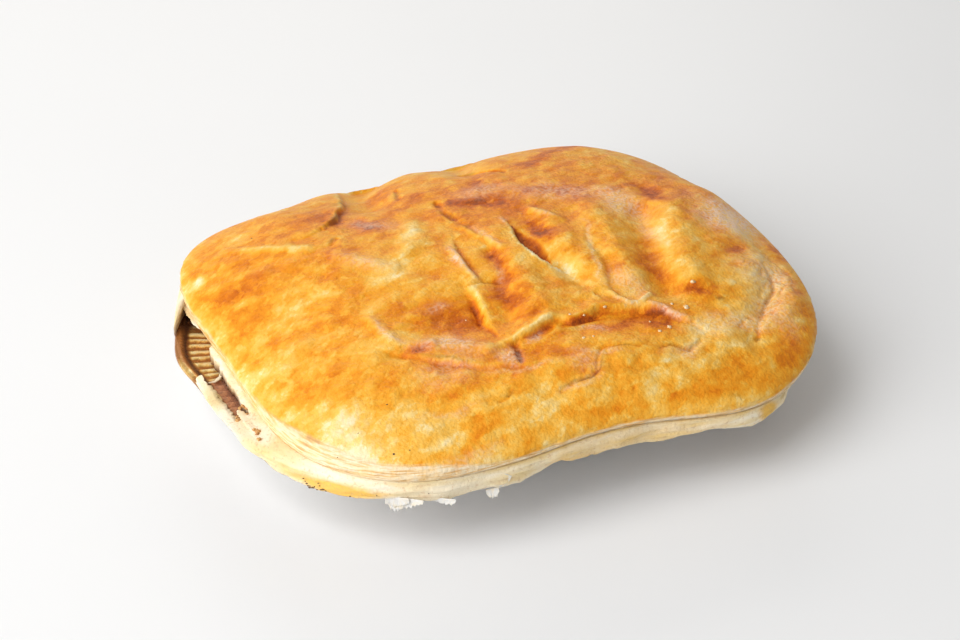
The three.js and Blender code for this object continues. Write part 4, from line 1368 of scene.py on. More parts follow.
@dataclass(frozen=True)
class PastryLid:
    """The puffed golden lid with its slashes, its browning and its layered cut edge."""

    form: LidForm
    relief: CrustRelief
    paint: CrustPaint
    columns: int = 330
    rows: int = 270
    edge_rows: int = 8
    crowding: float = 1.15
    layer: float = 0.45
    layer_depth: float = 0.28
    layer_stretch: float = 5
    bare_width: float = -0.012
    bare_drop: float = 0.03
    bare_swells: tuple[Swell, ...] = (
        Swell(-148, 0.042, 15), Swell(-128, 0.022, 10), Swell(175, 0.016, 26),
    )
    bare_edge: Pair = (-0.004, 0.006)
    ragged: float = 0.004
    ragged_seed: int = 19
    glazed_end: Swell = Swell(178, 0.45, 24)
    edge_bulge: float = 0.25
    edge_seed: int = 5
    rim_share: float = 0.955
    rim_paling: float = 0.12
    seam_levels: Pair = (0.7, 1.0)
    seam_shade: float = 0.5

    def build(self, finish: GlazedCrust) -> Piece:
        """Build and dress the lid.

        Args:
            finish: the crust's finish.

        Returns:
            The lid.
        """
        angle, share, grid = self.grid()
        points = self.crust(angle, share)
        rim = border(grid)
        edge_points, levels = self.cut_edge(angle[rim])
        pole = self.form.place(np.zeros(1), np.zeros(1), np.array([self.form.seam]))
        faces = [grid_quads(low, high, False) for low, high in zip(grid[:-1, :], grid[1:, :])]
        count = len(points)
        above = rim
        for row in range(self.edge_rows):
            below = count + row * len(rim) + np.arange(len(rim))
            faces.append(grid_quads(below, above))
            above = below
        last = count + len(edge_points)
        bottom = np.stack([np.full(len(rim), last), np.roll(above, -1), above], axis=1)
        paints = self.painted(points, share, edge_points, levels)
        everything = np.concatenate([points, edge_points, pole])
        face_list = np.concatenate(faces).tolist() + bottom.tolist()
        return make_piece("golden_lid", everything, face_list, finish.material(), paints)

    def grid(self) -> tuple[Array, Array, Array]:
        """Bend a square grid to the lid's outline.

        Returns:
            Each point's heading and share of the way to the edge, and the grid of point numbers.
        """
        u, v = np.meshgrid(np.linspace(-1, 1, self.columns + 1), np.linspace(-1, 1, self.rows + 1))
        angle = np.arctan2(v * self.form.width, u * self.form.length).ravel()
        level = np.maximum(np.abs(u), np.abs(v)).ravel()
        share = 1 - (1 - level) ** self.crowding
        return angle, share, np.arange(angle.size).reshape(u.shape)

    def on_crust(self, x: float, y: float) -> Array:
        """Give the place on the crust at a place from the lid's centre."""
        angle = np.array([math.atan2(y, x)])
        return self.crust(angle, np.array([math.hypot(x, y)]) / self.form.radius(angle))[0]

    def crust(self, angle: Array, share: Array) -> Array:
        """Give the points of the crust with its relief.

        Args:
            angle: headings from the lid's centre, in radians.
            share: distances from the centre, as shares of the way to the edge.

        Returns:
            The points, one row each.
        """
        radius = share * self.form.radius(angle)
        relief = self.relief.height(radius * np.cos(angle), radius * np.sin(angle))
        z = self.form.top(angle, share) + relief * (1 - share**self.relief.fade)
        return self.form.place(angle, radius, z)

    def cut_edge(self, angle: Array) -> tuple[Array, Array]:
        """Give the points of the cut edge, row by row downwards.

        Args:
            angle: the headings of the points round the edge.

        Returns:
            The points, and how far down the edge each is, 0 to 1.
        """
        noise = Noise(self.edge_seed)
        radius, seam = self.form.radius(angle), self.form.seam_height(angle)
        rows, levels = [], []
        for row in range(1, self.edge_rows + 1):
            level = row / self.edge_rows
            z = seam + self.form.edge * (1 - level)
            x, y, _ = (self.form.place(angle, radius, z) / self.layer_stretch).T
            layered = noise.fractal(x, y, 30 + z, self.layer, 2)
            bulge = self.edge_bulge * math.sin(math.pi * level) + self.layer_depth * layered * (1 - level**6)
            rows.append(self.form.place(angle, radius + bulge, z))
            levels.append(np.full(angle.shape, level))
        return np.concatenate(rows), np.concatenate(levels)

    def painted(self, crust: Array, share: Array, edge: Array, levels: Array) -> Paints:
        """Paint the crust and the cut edge.

        Args:
            crust: the crust's points.
            share: each one's share of the way to the edge.
            edge: the cut edge's points.
            levels: how far down the edge each is.

        Returns:
            The values of each paint, the pole's last.
        """
        points = np.concatenate([crust, edge])
        x, y = points[:, 0] - self.form.centre[0], points[:, 1] - self.form.centre[1]
        angle = np.arctan2(y, x)
        paints = self.paint.channels(x, y, self.relief)
        outward = np.concatenate([smoothstep(share, self.rim_share, 1.0), np.ones(len(edge))])
        width = self.bare_width + total_strength(self.bare_swells, angle)
        down = np.concatenate([share - 1, self.bare_drop * levels])
        ragged = self.ragged * Noise(self.ragged_seed).fractal(x, y, z=2.0, size=5, octaves=4)
        bare = smoothstep(down + ragged + width, *self.bare_edge)
        bare = bare * (1 - self.glazed_end.strength(angle))
        # A brown painted shadow line along the bottom of the lid's cut edge, over part of the way round
        low = np.concatenate([np.zeros(len(crust)), smoothstep(levels, *self.seam_levels)])
        browned_and_shaded = low * stretch_round(angle, *SHADED_SEAM)
        paints[Paint.BAKE_AND_SHADE] = paints[Paint.BAKE_AND_SHADE] - self.rim_paling * outward
        paints[Paint.CHAR_AND_SHADE] = np.maximum(paints[Paint.CHAR_AND_SHADE] * (1 - outward), self.seam_shade * browned_and_shaded)
        paints[Paint.HAZE_AND_SHEEN] = paints[Paint.HAZE_AND_SHEEN] * (1 - outward)
        paints[Paint.EDGE] = bare
        return {paint: np.append(values, 0.0) for paint, values in paints.items()}


@dataclass(frozen=True)
class BandMark:
    """A painted stretch of the band: its heading and its height, 0 at the foot and 1 at the lid."""

    at: float
    height: float
    spread: float
    thickness: float
    amount: float

    def strength(self, angle: Array, level: Array) -> Array:
        """Give the mark's strength at each place on the band."""
        across = (level - self.height) / self.thickness
        return self.amount * soft_patch(degrees_apart(angle, self.at) / self.spread, across)


@dataclass(frozen=True)
class PastryBase:
    """The pastry that fills the tray, folds over its rim and hangs outside as a torn band."""

    lid: LidForm
    tray: TrayForm
    clearance: float = 0.3
    over_lid: float = 0.5
    over_lid_swells: tuple[Swell, ...] = (Swell(-152, 1.6, 16), Swell(-110, 0.8, 9))
    under_lid: float = 2.5
    front: float = -107
    front_spread: Pair = (51, 57)
    over_rim: float = 1.0
    rounding: float = 0.5
    upper_rounding: float = 1.7
    drop: float = 5.9
    drop_at_tear: float = 3.2
    tear_spread: float = 26
    sags: tuple[Swell, ...] = (
        Swell(-163, -1.3, 8), Swell(-148, 2.4, 10), Swell(-103, -1, 12), Swell(-91, 1, 8),
        Swell(-71, -1.2, 8),
    )
    slope: float = 0.1
    steps: int = 1080
    band_rows: int = 18
    tear_bottom: float = 15
    sliver_tip: Pair = (-82, 25.2)
    sliver_root: Pair = (-73, 45)
    tear_back: float = 38
    front_strip_start: float = 2.4
    front_strip_bares: float = 1.1
    front_strip_lean: float = 1.0
    tear_front: float = -20
    tear_under_lid: float = 2.2
    layer_start: float = 11
    layer_over_lid: float = 1.4
    tooth_length: float = 0.8
    tooth_depth: float = 1.0
    tear_seed: int = 7
    ripple_waves: tuple[Wave, ...] = ((0.35, 11, 1), (0.25, 29, 2))
    rag_waves: tuple[Wave, ...] = ((0.6, 9, 1), (0.5, 23, 2))
    rag_circle: float = 75
    fine_rags: float = 0.7
    rag_seed: int = 8
    crumple: float = 0.4
    crumple_size: float = 1.7
    crumple_stretch: Triple = (4, 4, 1)
    layer_size: float = 1.1
    layer_stretch: Triple = (9, 9, 0.5)
    crumple_seed: int = 14
    foot_white: float = 0.5
    foot_levels: Pair = (-0.35, 0.05)
    seam_shade_gold: float = 0.5
    seam_levels: Pair = (0.93, 1.03)
    juice: float = 0.9
    juice_inset: Pair = (2.2, 3.2)
    juice_heights: Pair = (20.0, 24.0)
    gilded: tuple[BandMark, ...] = (
        BandMark(-142, 0.32, 8, 0.4, 1), BandMark(-155, 0.5, 6, 0.6, 0.45),
        BandMark(-96, 0.5, 13, 0.9, 0.36), BandMark(-76, 0.5, 12, 0.9, 0.36),
        BandMark(-59, 0.6, 2.2, 0.6, 0.9), BandMark(-100, 0.1, 6, 0.25, 0.25),
        BandMark(20, 0.4, 12, 0.5, 0.5), BandMark(80, 0.4, 15, 0.5, 0.5), BandMark(125, 0.3, 10, 0.4, 0.5),
    )
    whitened: tuple[BandMark, ...] = (
        BandMark(-143, 0.98, 9, 0.24, 0.6), BandMark(-124, 0.4, 9, 0.6, 0.8),
        BandMark(-166, 0.6, 5, 0.6, 0.6),
    )

    def ripples(self, angle: Array) -> Array:
        """Give the band's slow lumps round the pie."""
        return sum_of_sines(angle, self.ripple_waves)

    def band_radius(self, angle: Array) -> Array:
        """Give the distance from the lid's centre to the band's belly.

        Args:
            angle: headings from the lid's centre, in radians.

        Returns:
            The distance at each heading.
        """
        tucked = smoothstep(degrees_apart(angle, self.front), *self.front_spread)
        over_lid = self.over_lid + total_strength(self.over_lid_swells, angle)
        past_lid = self.lid.radius(angle) + mix(over_lid, -self.under_lid, tucked)
        past_rim = self.rim_from_lid(angle, -self.over_rim)
        larger = (past_lid + past_rim + np.hypot(past_lid - past_rim, 1)) / 2
        return larger + self.ripples(angle)

    def rim_from_lid(self, angle: Array, inset: float) -> Array:
        """Give the distance from the lid's centre to the tray's rim, less an inset."""
        half = (self.tray.length / 2 - inset, self.tray.width / 2 - inset)
        return self.tray.radius_from(self.lid.centre, angle, half)

    def foot_height(self, angle: Array) -> Array:
        """Give the height of the band's torn lower edge.

        Args:
            angle: headings from the lid's centre, in radians.

        Returns:
            The height at each heading.
        """
        torn = np.exp(-((degrees_apart(angle, 180) / self.tear_spread) ** 2))
        rags = sum_of_sines(angle, self.rag_waves)
        around = self.lid.place(angle, self.rag_circle, 0.0)
        fine = Noise(self.rag_seed).fractal(around[..., 0], around[..., 1], z=3.0, size=6, octaves=4)
        drop = mix(self.drop, self.drop_at_tear, torn) + rags * (1 - torn) + self.fine_rags * fine
        return self.lid.seam_height(angle) - drop - total_strength(self.sags, angle)

    def shoulder_height(self, angle: Array) -> Array:
        """Give the height of the band's upper edge, which slopes away from the seam."""
        slope = self.slope * (self.band_radius(angle) - self.lid.radius(angle))
        return self.lid.seam_height(angle) - self.rounding - self.clearance - np.maximum(0, slope)

    def build(self, finish: PalePastry) -> Piece:
        """Build and dress the base.

        Args:
            finish: the pastry's finish.

        Returns:
            The base, torn at its left end.
        """
        angle = np.linspace(-math.pi, math.pi, self.steps, endpoint=False)
        rings = [*self.inner_rings(angle), *self.band_rings(angle), self.top_ring(angle)]
        floor = self.lid.place(np.zeros(1), np.zeros(1), np.array([self.tray.foil + self.clearance]))
        crown = self.lid.place(np.zeros(1), np.zeros(1), np.array([self.lid.seam - self.clearance]))
        whole = make_piece("pastry_case", *shell_of_rings(rings, floor, crown), finish.material())
        self.tear(whole)
        set_paints(whole.data, self.painted(whole.data))
        return whole

    def inner_rings(self, angle: Array) -> list[Array]:
        """Give the rings from the floor up the wall, over the ledge and the bead, down to the foot.

        Args:
            angle: headings from the lid's centre, in radians.

        Returns:
            The rings' points, in that order.
        """
        tray = self.tray
        snug = tray.flute_depth / 2 + self.clearance * math.sqrt(2)
        over = 1.5 * self.clearance
        floor_inset = tray.corner_inset + snug
        half = (tray.base_length / 2 - floor_inset, tray.base_width / 2 - floor_inset)
        floor = tray.radius_from(self.lid.centre, angle, half)
        wall = self.rim_from_lid(angle, tray.ledge_inset + tray.foil_across + snug)
        inside_crease = self.rim_from_lid(angle, tray.bead_width + self.clearance)
        bead_top = self.rim_from_lid(angle, tray.bead_peak)
        outside = self.rim_from_lid(angle, -over)
        foot = np.minimum(tray.rim_top - over, self.foot_height(angle) + self.rounding)
        over_ledge = tray.ledge_height + tray.ledge_flute_depth / 2 + self.clearance
        return [
            self.lid.place(angle, floor, tray.foil + self.clearance),
            self.lid.place(angle, wall, over_ledge),
            self.lid.place(angle, inside_crease, tray.crease_height + over),
            self.lid.place(angle, bead_top, tray.rim_top + over),
            self.lid.place(angle, outside, tray.rim_top - self.clearance / 2),
            self.lid.place(angle, outside, foot),
        ]

    def band_rings(self, angle: Array) -> list[Array]:
        """Give the rings up the outside of the band, crumpled in thin layers.

        Args:
            angle: headings from the lid's centre, in radians.

        Returns:
            The rings' points, from the foot upwards.
        """
        noise = Noise(self.crumple_seed)
        foot, shoulder = self.foot_height(angle), self.shoulder_height(angle)
        band = self.band_radius(angle)
        rings = []
        for row in range(self.band_rows + 1):
            level = row / self.band_rows
            z = mix(foot, shoulder, level)
            around = self.lid.place(angle, band, z)
            crumpled = noise.fractal(*(around / self.crumple_stretch).T, self.crumple_size, octaves=3)
            layered = np.abs(noise.wave(*(around / self.layer_stretch).T, self.layer_size))
            crumple = self.crumple * thinned(level, 0) * (crumpled - layered)
            rings.append(self.lid.place(angle, band - self.band_inset(angle, level) + crumple, z))
        return rings

    def band_inset(self, angle: Array, level: float) -> Array:
        """Give how far the band's side lies inside its belly.

        Args:
            angle: headings from the lid's centre, in radians.
            level: 0 at the band's foot and 1 at the lid.

        Returns:
            The inset at each heading.
        """
        if level < 0.5:
            return self.rounding * (1 - 2 * level) ** 2.5
        standing_out = np.clip(self.band_radius(angle) - self.lid.radius(angle), 0, self.upper_rounding)
        return np.maximum(self.rounding, standing_out) * (2 * level - 1) ** 2

    def on_band(self, heading: float, level: float) -> Array:
        """Find a place on the band.

        Args:
            heading: its heading from the lid's centre, in degrees.
            level: 0 at the band's foot and 1 at the lid.

        Returns:
            The place.
        """
        angle = np.array([math.radians(heading)])
        z = mix(self.foot_height(angle), self.shoulder_height(angle), level)
        return self.lid.place(angle, self.band_radius(angle) - self.band_inset(angle, level), z)[0]

    def top_ring(self, angle: Array) -> Array:
        """Give the ring just under the lid.

        Args:
            angle: headings from the lid's centre, in radians.

        Returns:
            The ring's points.
        """
        radius = np.minimum(self.lid.radius(angle), self.band_radius(angle) - 2 * self.rounding)
        share = radius / self.lid.radius(angle)
        z = mix(self.lid.seam, self.lid.seam_height(angle), share) - self.clearance
        return self.lid.place(angle, radius, z)

    def tear(self, whole: Piece) -> None:
        """Cut the tear out of the base's left end.

        Args:
            whole: the base, whose mesh is replaced by the torn one.
        """
        outline = np.array(self.tear_outline())
        count = len(outline)
        low = np.column_stack([outline, np.full(count, self.tear_bottom)])
        high = np.column_stack([outline, np.full(count, self.lid.seam + self.lid.edge)])
        sides = grid_quads(np.arange(count), np.arange(count) + count).tolist()
        caps = [list(range(count))[::-1], list(range(count, 2 * count))]
        cutter = make_piece("tear", np.concatenate([low, high]), sides + caps, whole.data.materials[0])
        modifier = whole.modifiers.new("tear", "BOOLEAN")
        modifier.operation, modifier.solver, modifier.object = "DIFFERENCE", "MANIFOLD", cutter
        depsgraph = bpy.context.evaluated_depsgraph_get()
        torn = bpy.data.meshes.new_from_object(whole.evaluated_get(depsgraph))
        whole.modifiers.clear()
        whole.data = torn
        bpy.data.objects.remove(cutter)

    def tear_outline(self) -> list[Array]:
        """Work out the tear's ragged outline from above.

        Returns:
            Its corners, anticlockwise.
        """
        random = np.random.default_rng(self.tear_seed)
        outside = -self.tray.length / 2 - 3 * self.tray.bead_width
        strip = -self.tray.length / 2 + self.tray.bead_width - self.front_strip_bares
        lid_end = self.lid.centre[0] - float(self.lid.radius(np.array(math.pi)))
        under_lid, past_lid = lid_end + self.tear_under_lid, lid_end - self.layer_over_lid
        corners = np.array(
            [
                (outside, self.front_strip_start),
                (strip - self.front_strip_lean / 2, self.front_strip_start),
                (strip + self.front_strip_lean, self.tear_front),
                (past_lid, self.tear_front),
                (past_lid, self.layer_start),
                (under_lid, self.layer_start + self.tear_under_lid),
                (under_lid, self.tear_back),
            ]
        )
        outline = []
        for start, end in zip(corners, corners[1:]):
            along = end - start
            length = np.hypot(*along)
            across = np.array([along[1], -along[0]]) / length
            teeth = max(1, round(length / self.tooth_length))
            for tooth in range(teeth):
                jag = self.tooth_depth * random.uniform(-0.5, 0.5) * (tooth > 0)
                outline.append(start + along * tooth / teeth + across * jag)
        sliver = (self.sliver_tip, self.sliver_root, (outside, self.sliver_root[1]))
        return [*outline, corners[-1], *(np.array(corner) for corner in sliver)]

    def painted(self, mesh: bpy.types.Mesh) -> Paints:
        """Paint the torn base.

        Args:
            mesh: the base's mesh.

        Returns:
            The values of each paint.
        """
        places = np.zeros(3 * len(mesh.vertices))
        mesh.vertices.foreach_get("co", places)
        x, y, z = places.reshape(-1, 3).T / MM
        angle = np.arctan2(y - self.lid.centre[1], x - self.lid.centre[0])
        radius = np.hypot(y - self.lid.centre[1], x - self.lid.centre[0])
        foot, shoulder = self.foot_height(angle), self.shoulder_height(angle)
        level = (z - foot) / (shoulder - foot)
        gold = total_strength(self.gilded, angle, level)
        white = self.foot_white * smoothstep(-level, *self.foot_levels)
        white = np.maximum(white, total_strength(self.whitened, angle, level))
        inside = smoothstep(self.band_radius(angle) - radius, *self.juice_inset)
        stained = inside * (1 - smoothstep(z, *self.juice_heights))
        # Golden-tan painted shadow along the band's top under the lid's edge, on the same stretch
        seam = smoothstep(level, *self.seam_levels) * stretch_round(angle, *SHADED_SEAM)
        gold = np.maximum(gold, self.seam_shade_gold * seam)
        return {Paint.BAKE_AND_SHADE: gold, Paint.FLAKE: white * (1 - stained), Paint.CHAR_AND_SHADE: self.juice * stained}


@dataclass(frozen=True)
class FoilTray:
    """The fluted foil tray with its ledge and its rolled rim."""

    form: TrayForm
    steps_a_flute: int = 8
    wall_rows: int = 5
    ledge_rows: int = 8
    bead_rows: int = 10
    flute_start: float = 0.25
    uneven: tuple[Wave, ...] = ((0.5, 37, 0), (0.6, 61, 2))
    sharpness: float = 0.8
    base_margin: float = 6
    bead_shoulder: Pair = (0.8, 0.35)
    crease_shade_width: float = 0.8
    left_end: Pair = (68, 72)
    far_corner_shade: Pair = (24, 30)
    soaked_front: Pair = (-4, 0)
    glint_place: Pair = (9, 6)

    def build(self, finish: BakedFoil) -> Piece:
        """Build and dress the tray.

        Args:
            finish: the foil's finish.

        Returns:
            The tray.
        """
        steps = self.form.flutes * self.steps_a_flute
        angle = np.linspace(-math.pi, math.pi, steps, endpoint=False)
        outer, inner = self.outer_rings(angle), self.inner_rings(angle)
        rings = [*outer, *self.bead_rings(angle), *inner]
        points, faces = shell_of_rings(rings, np.zeros((1, 3)), np.array([[0, 0, self.form.foil]]))
        paints = self.painted(points, len(outer) * steps)
        return make_piece("fluted_tray", points, faces, finish.material(), paints)

    def wave(self, angle: Array) -> Array:
        """Give the flutes' ripple round the tray, sharper than a sine, from -1 to 1."""
        wave = np.sin(self.form.flutes * angle + sum_of_sines(angle, self.uneven))
        return np.sign(wave) * np.abs(wave) ** self.sharpness

    @staticmethod
    def ring(angle: Array, radius: Array, z: Array | float) -> Array:
        """Give a ring of points round the tray's centre."""
        return np.stack(np.broadcast_arrays(radius * np.cos(angle), radius * np.sin(angle), z), axis=1)

    def wall(self, angle: Array, level: float, inside: bool) -> Array:
        """Give a ring of the wall.

        Args:
            angle: the headings round the tray.
            level: 0 at the wall's foot and 1 at the ledge.
            inside: whether it is the wall's inner side.

        Returns:
            The ring's points.
        """
        form = self.form
        low = form.base_radius(angle, form.corner_inset if inside else 0)
        high = form.rim_radius(angle, form.ledge_inset + form.foil_across * inside)
        foot, top = (form.foil, form.ledge_height) if inside else (0.0, form.ledge_height - form.foil)
        wave = self.wave(angle)
        z = mix(foot, top, level) + form.ledge_flute_depth / 2 * wave * level**4
        return self.ring(angle, mix(low, high, level) + form.flute_depth / 2 * wave, z)

    def ledge(self, angle: Array, level: float, inside: bool) -> Array:
        """Give a ring of the ledge.

        Args:
            angle: the headings round the tray.
            level: 0 at the crease and 1 at the wall.
            inside: whether it is the ledge's upper side.

        Returns:
            The ring's points.
        """
        form = self.form
        inner_inset = form.ledge_inset + form.foil_across * inside
        start, end = form.bent_rim_radius(angle, form.bead_width), form.rim_radius(angle, inner_inset)
        low = form.ledge_height - (0 if inside else form.foil)
        high = form.crease_height if inside else form.bead_foot
        fluted = min(1.0, level / self.flute_start)
        wave = self.wave(angle)
        z = mix(high, low, level) + form.ledge_flute_depth / 2 * wave * fluted
        return self.ring(angle, mix(start, end, level) + form.flute_depth / 2 * wave * level, z)

    def outer_rings(self, angle: Array) -> list[Array]:
        """Give the rings from under the base, up the wall and out under the ledge.

        Args:
            angle: the headings round the tray, in radians.

        Returns:
            The rings' points, in that order.
        """
        levels = np.linspace(0, 1, self.wall_rows + 1)
        rings = [self.ring(angle, self.form.base_radius(angle, self.base_margin), 0.0)]
        rings += [self.wall(angle, level, False) for level in levels]
        rings += [self.ledge(angle, level, False) for level in np.linspace(1, 0, self.ledge_rows)[1:]]
        return rings

    def bead_rings(self, angle: Array) -> list[Array]:
        """Give the rings round the rolled rim.

        Args:
            angle: the headings round the tray, in radians.

        Returns:
            The rings' points, from the rim's underside over its top.
        """
        form = self.form
        rings = []
        for turn in np.linspace(-math.pi / 2, math.pi / 2, self.bead_rows + 1):
            inset = form.bead_peak * (1 - math.cos(turn))
            z = form.rim_top - form.bead_height / 2 * (1 - math.sin(turn))
            rings.append(self.ring(angle, form.bent_rim_radius(angle, inset), z))
        inward, downward = self.bead_shoulder
        radius = form.bent_rim_radius(angle, inward * form.bead_width)
        rings.append(self.ring(angle, radius, form.rim_top - downward * form.crease_depth))
        return rings

    def inner_rings(self, angle: Array) -> list[Array]:
        """Give the rings from the crease over the ledge and down the wall to the base.

        Args:
            angle: the headings round the tray, in radians.

        Returns:
            The rings' points, in that order.
        """
        rings = [self.ledge(angle, level, True) for level in np.linspace(0, 1, self.ledge_rows + 1)]
        rings += [self.wall(angle, level, True) for level in np.linspace(1, 0, self.wall_rows + 1)[1:]]
        rings.append(self.ring(angle, self.form.base_radius(angle, self.base_margin), self.form.foil))
        return rings

    def painted(self, points: Array, outer: int) -> Paints:
        """Paint the tray.

        Args:
            points: the tray's points.
            outer: how many of them, the first ones, lie outside.

        Returns:
            The values of each paint.
        """
        form = self.form
        x, y, z = points.T
        angle = np.arctan2(y, x)
        inset = form.bent_rim_radius(angle, 0) - np.hypot(x, y)
        silver = np.where(np.arange(len(points)) < outer, 1.0, 0.0)
        bronze = 1 - smoothstep(inset, form.bead_width, form.bead_width + 1)
        # Painted shade: darker along the crease and in the tear's far corner
        crease = np.exp(-(((inset - form.bead_width) / self.crease_shade_width) ** 2))
        left = smoothstep(-x, *self.left_end) * (z > form.ledge_height - 2)
        far_corner_shade = smoothstep(y, *self.far_corner_shade) * left
        juices = smoothstep(-y, *self.soaked_front) * left * (1 - bronze)
        painted_shade = np.maximum(0.9 * crease, 0.8 * far_corner_shade)
        # Painted highlights on the ledge's flute crests, and a painted glint on the rim's lower side by the
        # tear
        on_ledge = smoothstep(inset, form.bead_width, form.bead_width + 2)
        ridges = smoothstep(self.wave(angle), -0.8, 1.0) * on_ledge
        at, reach = self.glint_place
        painted_glint = 0.7 * np.exp(-(((y - at) / reach) ** 2)) * left * (inset < 0.7 * form.bead_width)
        return {
            Paint.FLAKE: silver,
            Paint.BAKE_AND_SHADE: bronze * (1 - painted_glint),
            Paint.HAZE_AND_SHEEN: np.maximum(ridges, painted_glint),
            Paint.CHAR_AND_SHADE: painted_shade * (1 - silver),
            Paint.EDGE: juices,
        }


@dataclass(frozen=True)
class HangingFlake:
    """A torn flake that hangs from the band: where on the band, its size, its lean, its spin and its edge.

    The edge gives the flake's depth from its left end to its right end, as shares of its size.
    """

    at: float
    level: float
    size: Pair
    lean: float
    spin: float
    edge: tuple[float, ...]


@dataclass(frozen=True)
class Film:
    """A thin curled film left in the tear: the places that it runs through and its width, in mm."""

    path: tuple[Triple, ...]
    width: float

    def along(self, share: float) -> Array:
        """Give the place at a share of the way through the film's places."""
        at = share * (len(self.path) - 1)
        return np.array([np.interp(at, range(len(self.path)), places) for places in zip(*self.path)])


@dataclass(frozen=True)
class TornFlakes:
    """Thin flakes that hang from the band and films left in the tear."""

    base: PastryBase
    thickness: float = 0.16
    columns: int = 60
    rows: int = 6
    teeth: int = 30
    tooth_depth: float = 0.4
    curl: float = 0.25
    waviness: float = 0.04
    crinkles: float = 7
    flake_seed: int = 3
    film_rows: int = 24
    film_corners: int = 8
    film_fray: Pair = (0.75, 1.1)
    film_sight: float = 0.05
    film_seed: int = 5
    hanging: tuple[HangingFlake, ...] = (
        HangingFlake(-131.6, 0.16, (10.4, 5.4), 0, 3, (0.45, 0.8, 1, 0.9, 0.84, 0.74, 0.6, 0.46, 0.36, 0.2)),
        HangingFlake(-132.6, 0.16, (6.0, 4.6), -8, 6, (0.6, 0.9, 1.0, 0.95, 0.7, 0.6, 0.4)),
        HangingFlake(-125.4, 0.16, (7.4, 2.4), 0, 2, (0.3, 0.5, 0.55, 0.65, 0.8, 1.0, 0.9, 0.4)),
        HangingFlake(-116.6, -0.10, (3.4, 3.0), 25, 12, (0.6, 0.9, 1.0, 0.95, 0.9, 0.6)),
        HangingFlake(-113.6, 0.72, (2.4, 5.6), 2, -24, (0.35, 0.8, 1.0, 0.7, 0.75, 0.3)),
    )
    films: tuple[Film, ...] = (
        Film(
            (
                (-75.2, 5.4, 21.8), (-75.8, 3.6, 21.6), (-77.1, 1.9, 21.4), (-79.1, 0.6, 21.3),
                (-81.1, 0.8, 21.4),
            ),
            1.1,
        ),
        Film(((-78.9, -16.4, 23.2), (-78.4, -20.0, 23.5), (-78.2, -24.0, 23.6), (-78.3, -28.4, 23.5)), 3.0),
        Film(((-81.6, -3.0, 21.8), (-80.6, -6.0, 21.6), (-80.6, -9.0, 21.8)), 0.9),
        Film(
            (
                (-74.0, 38.5, 24.6), (-74.7, 34.8, 24.5), (-74.9, 30.6, 24.4), (-75.1, 26.7, 24.2),
                (-75.2, 22, 24.0),
            ),
            3.4,
        ),
    )

    def build(self, thin: ThinPastry, pale: PalePastry) -> tuple[Piece, Piece]:
        """Build and dress the hanging flakes and the films in the tear.

        Args:
            thin: the flakes' finish.
            pale: the films' finish.

        Returns:
            All flakes in one piece, and all films in another.
        """
        random = np.random.default_rng(self.flake_seed)
        flakes = joined([self.flake(flake, random) for flake in self.hanging])
        random = np.random.default_rng(self.film_seed)
        films = joined([self.strip(film, random) for film in self.films])
        hanging = make_piece("hanging_flakes", *flakes, thin.material())
        return hanging, make_piece("torn_films", *films, pale.material())

    def strip(self, film: Film, random: np.random.Generator) -> Solid:
        """Make one film, thin at its ends and frayed along its sides.

        Args:
            film: its course and width.
            random: where its frayed sides come from.

        Returns:
            Its points and faces.
        """
        turn = np.linspace(0, 2 * math.pi, self.film_corners, endpoint=False)
        rings = []
        for share in np.linspace(0.01, 0.99, self.film_rows):
            ahead = film.along(min(1, share + self.film_sight)) - film.along(max(0, share - self.film_sight))
            side = np.array([-ahead[1], ahead[0], 0]) / np.hypot(ahead[0], ahead[1])
            half = film.width / 2 * thinned(share, 0) * random.uniform(*self.film_fray)
            across, up = np.outer(np.cos(turn), half * side), np.outer(np.sin(turn), (0, 0, self.thickness))
            rings.append(film.along(share) + across + up)
        faces = [face[::-1] for face in capped_rings(self.film_rows, self.film_corners)]
        return np.concatenate(rings), faces

    def flake(self, flake: HangingFlake, random: np.random.Generator) -> Solid:
        """Make one flake, straight along its top and torn below.

        Args:
            flake: its place, size and edge.
            random: where the teeth of its edge come from.

        Returns:
            Its points and faces.
        """
        across, down = np.meshgrid(np.linspace(-1, 1, self.columns), np.linspace(0, 1, self.rows))
        edge = np.interp(across, np.linspace(-1, 1, len(flake.edge)), flake.edge)
        depths = random.uniform(0, self.tooth_depth, self.teeth)
        teeth = np.interp(across, np.linspace(-1, 1, self.teeth), depths)
        length = flake.size[1] * edge * (1 - teeth)
        waves = self.waviness * np.sin(self.crinkles * across + random.uniform(0, 6)) * (0.4 + down)
        out = self.curl * down**2 + waves
        front_and_back = [
            np.stack([flake.size[0] / 2 * across, -down * length, out + side * (1 - 0.6 * down)], axis=-1)
            for side in (self.thickness / 2, -self.thickness / 2)
        ]
        count = self.rows * self.columns
        front = np.arange(count).reshape(self.rows, self.columns)
        faces = [grid_quads(low, high, False) for low, high in zip(front[1:], front)]
        faces += [quads[:, ::-1] + count for quads in faces]
        loop = border(front)
        faces.append(grid_quads(loop, loop + count))
        local = np.concatenate([sheet.reshape(-1, 3) for sheet in front_and_back])
        return self.posed(local, flake), np.concatenate(faces).tolist()

    def posed(self, local: Array, flake: HangingFlake) -> Array:
        """Turn a flake that lies flat to face its heading, leaning up, and hang it from the band.

        Args:
            local: the flake's points as it lies flat.
            flake: its place, its lean and its spin.

        Returns:
            Its points where it hangs.
        """
        spin, heading, lean = (math.radians(a) for a in (flake.spin, flake.at, flake.lean))
        forward = math.cos(lean)
        out = np.array([math.cos(heading) * forward, math.sin(heading) * forward, math.sin(lean)])
        level = np.array([-math.sin(heading), math.cos(heading), 0])
        up = np.cross(out, level)
        first = level * math.cos(spin) + up * math.sin(spin)
        second = up * math.cos(spin) - level * math.sin(spin)
        return local @ np.stack([first, second, out]) + self.base.on_band(flake.at, flake.level)


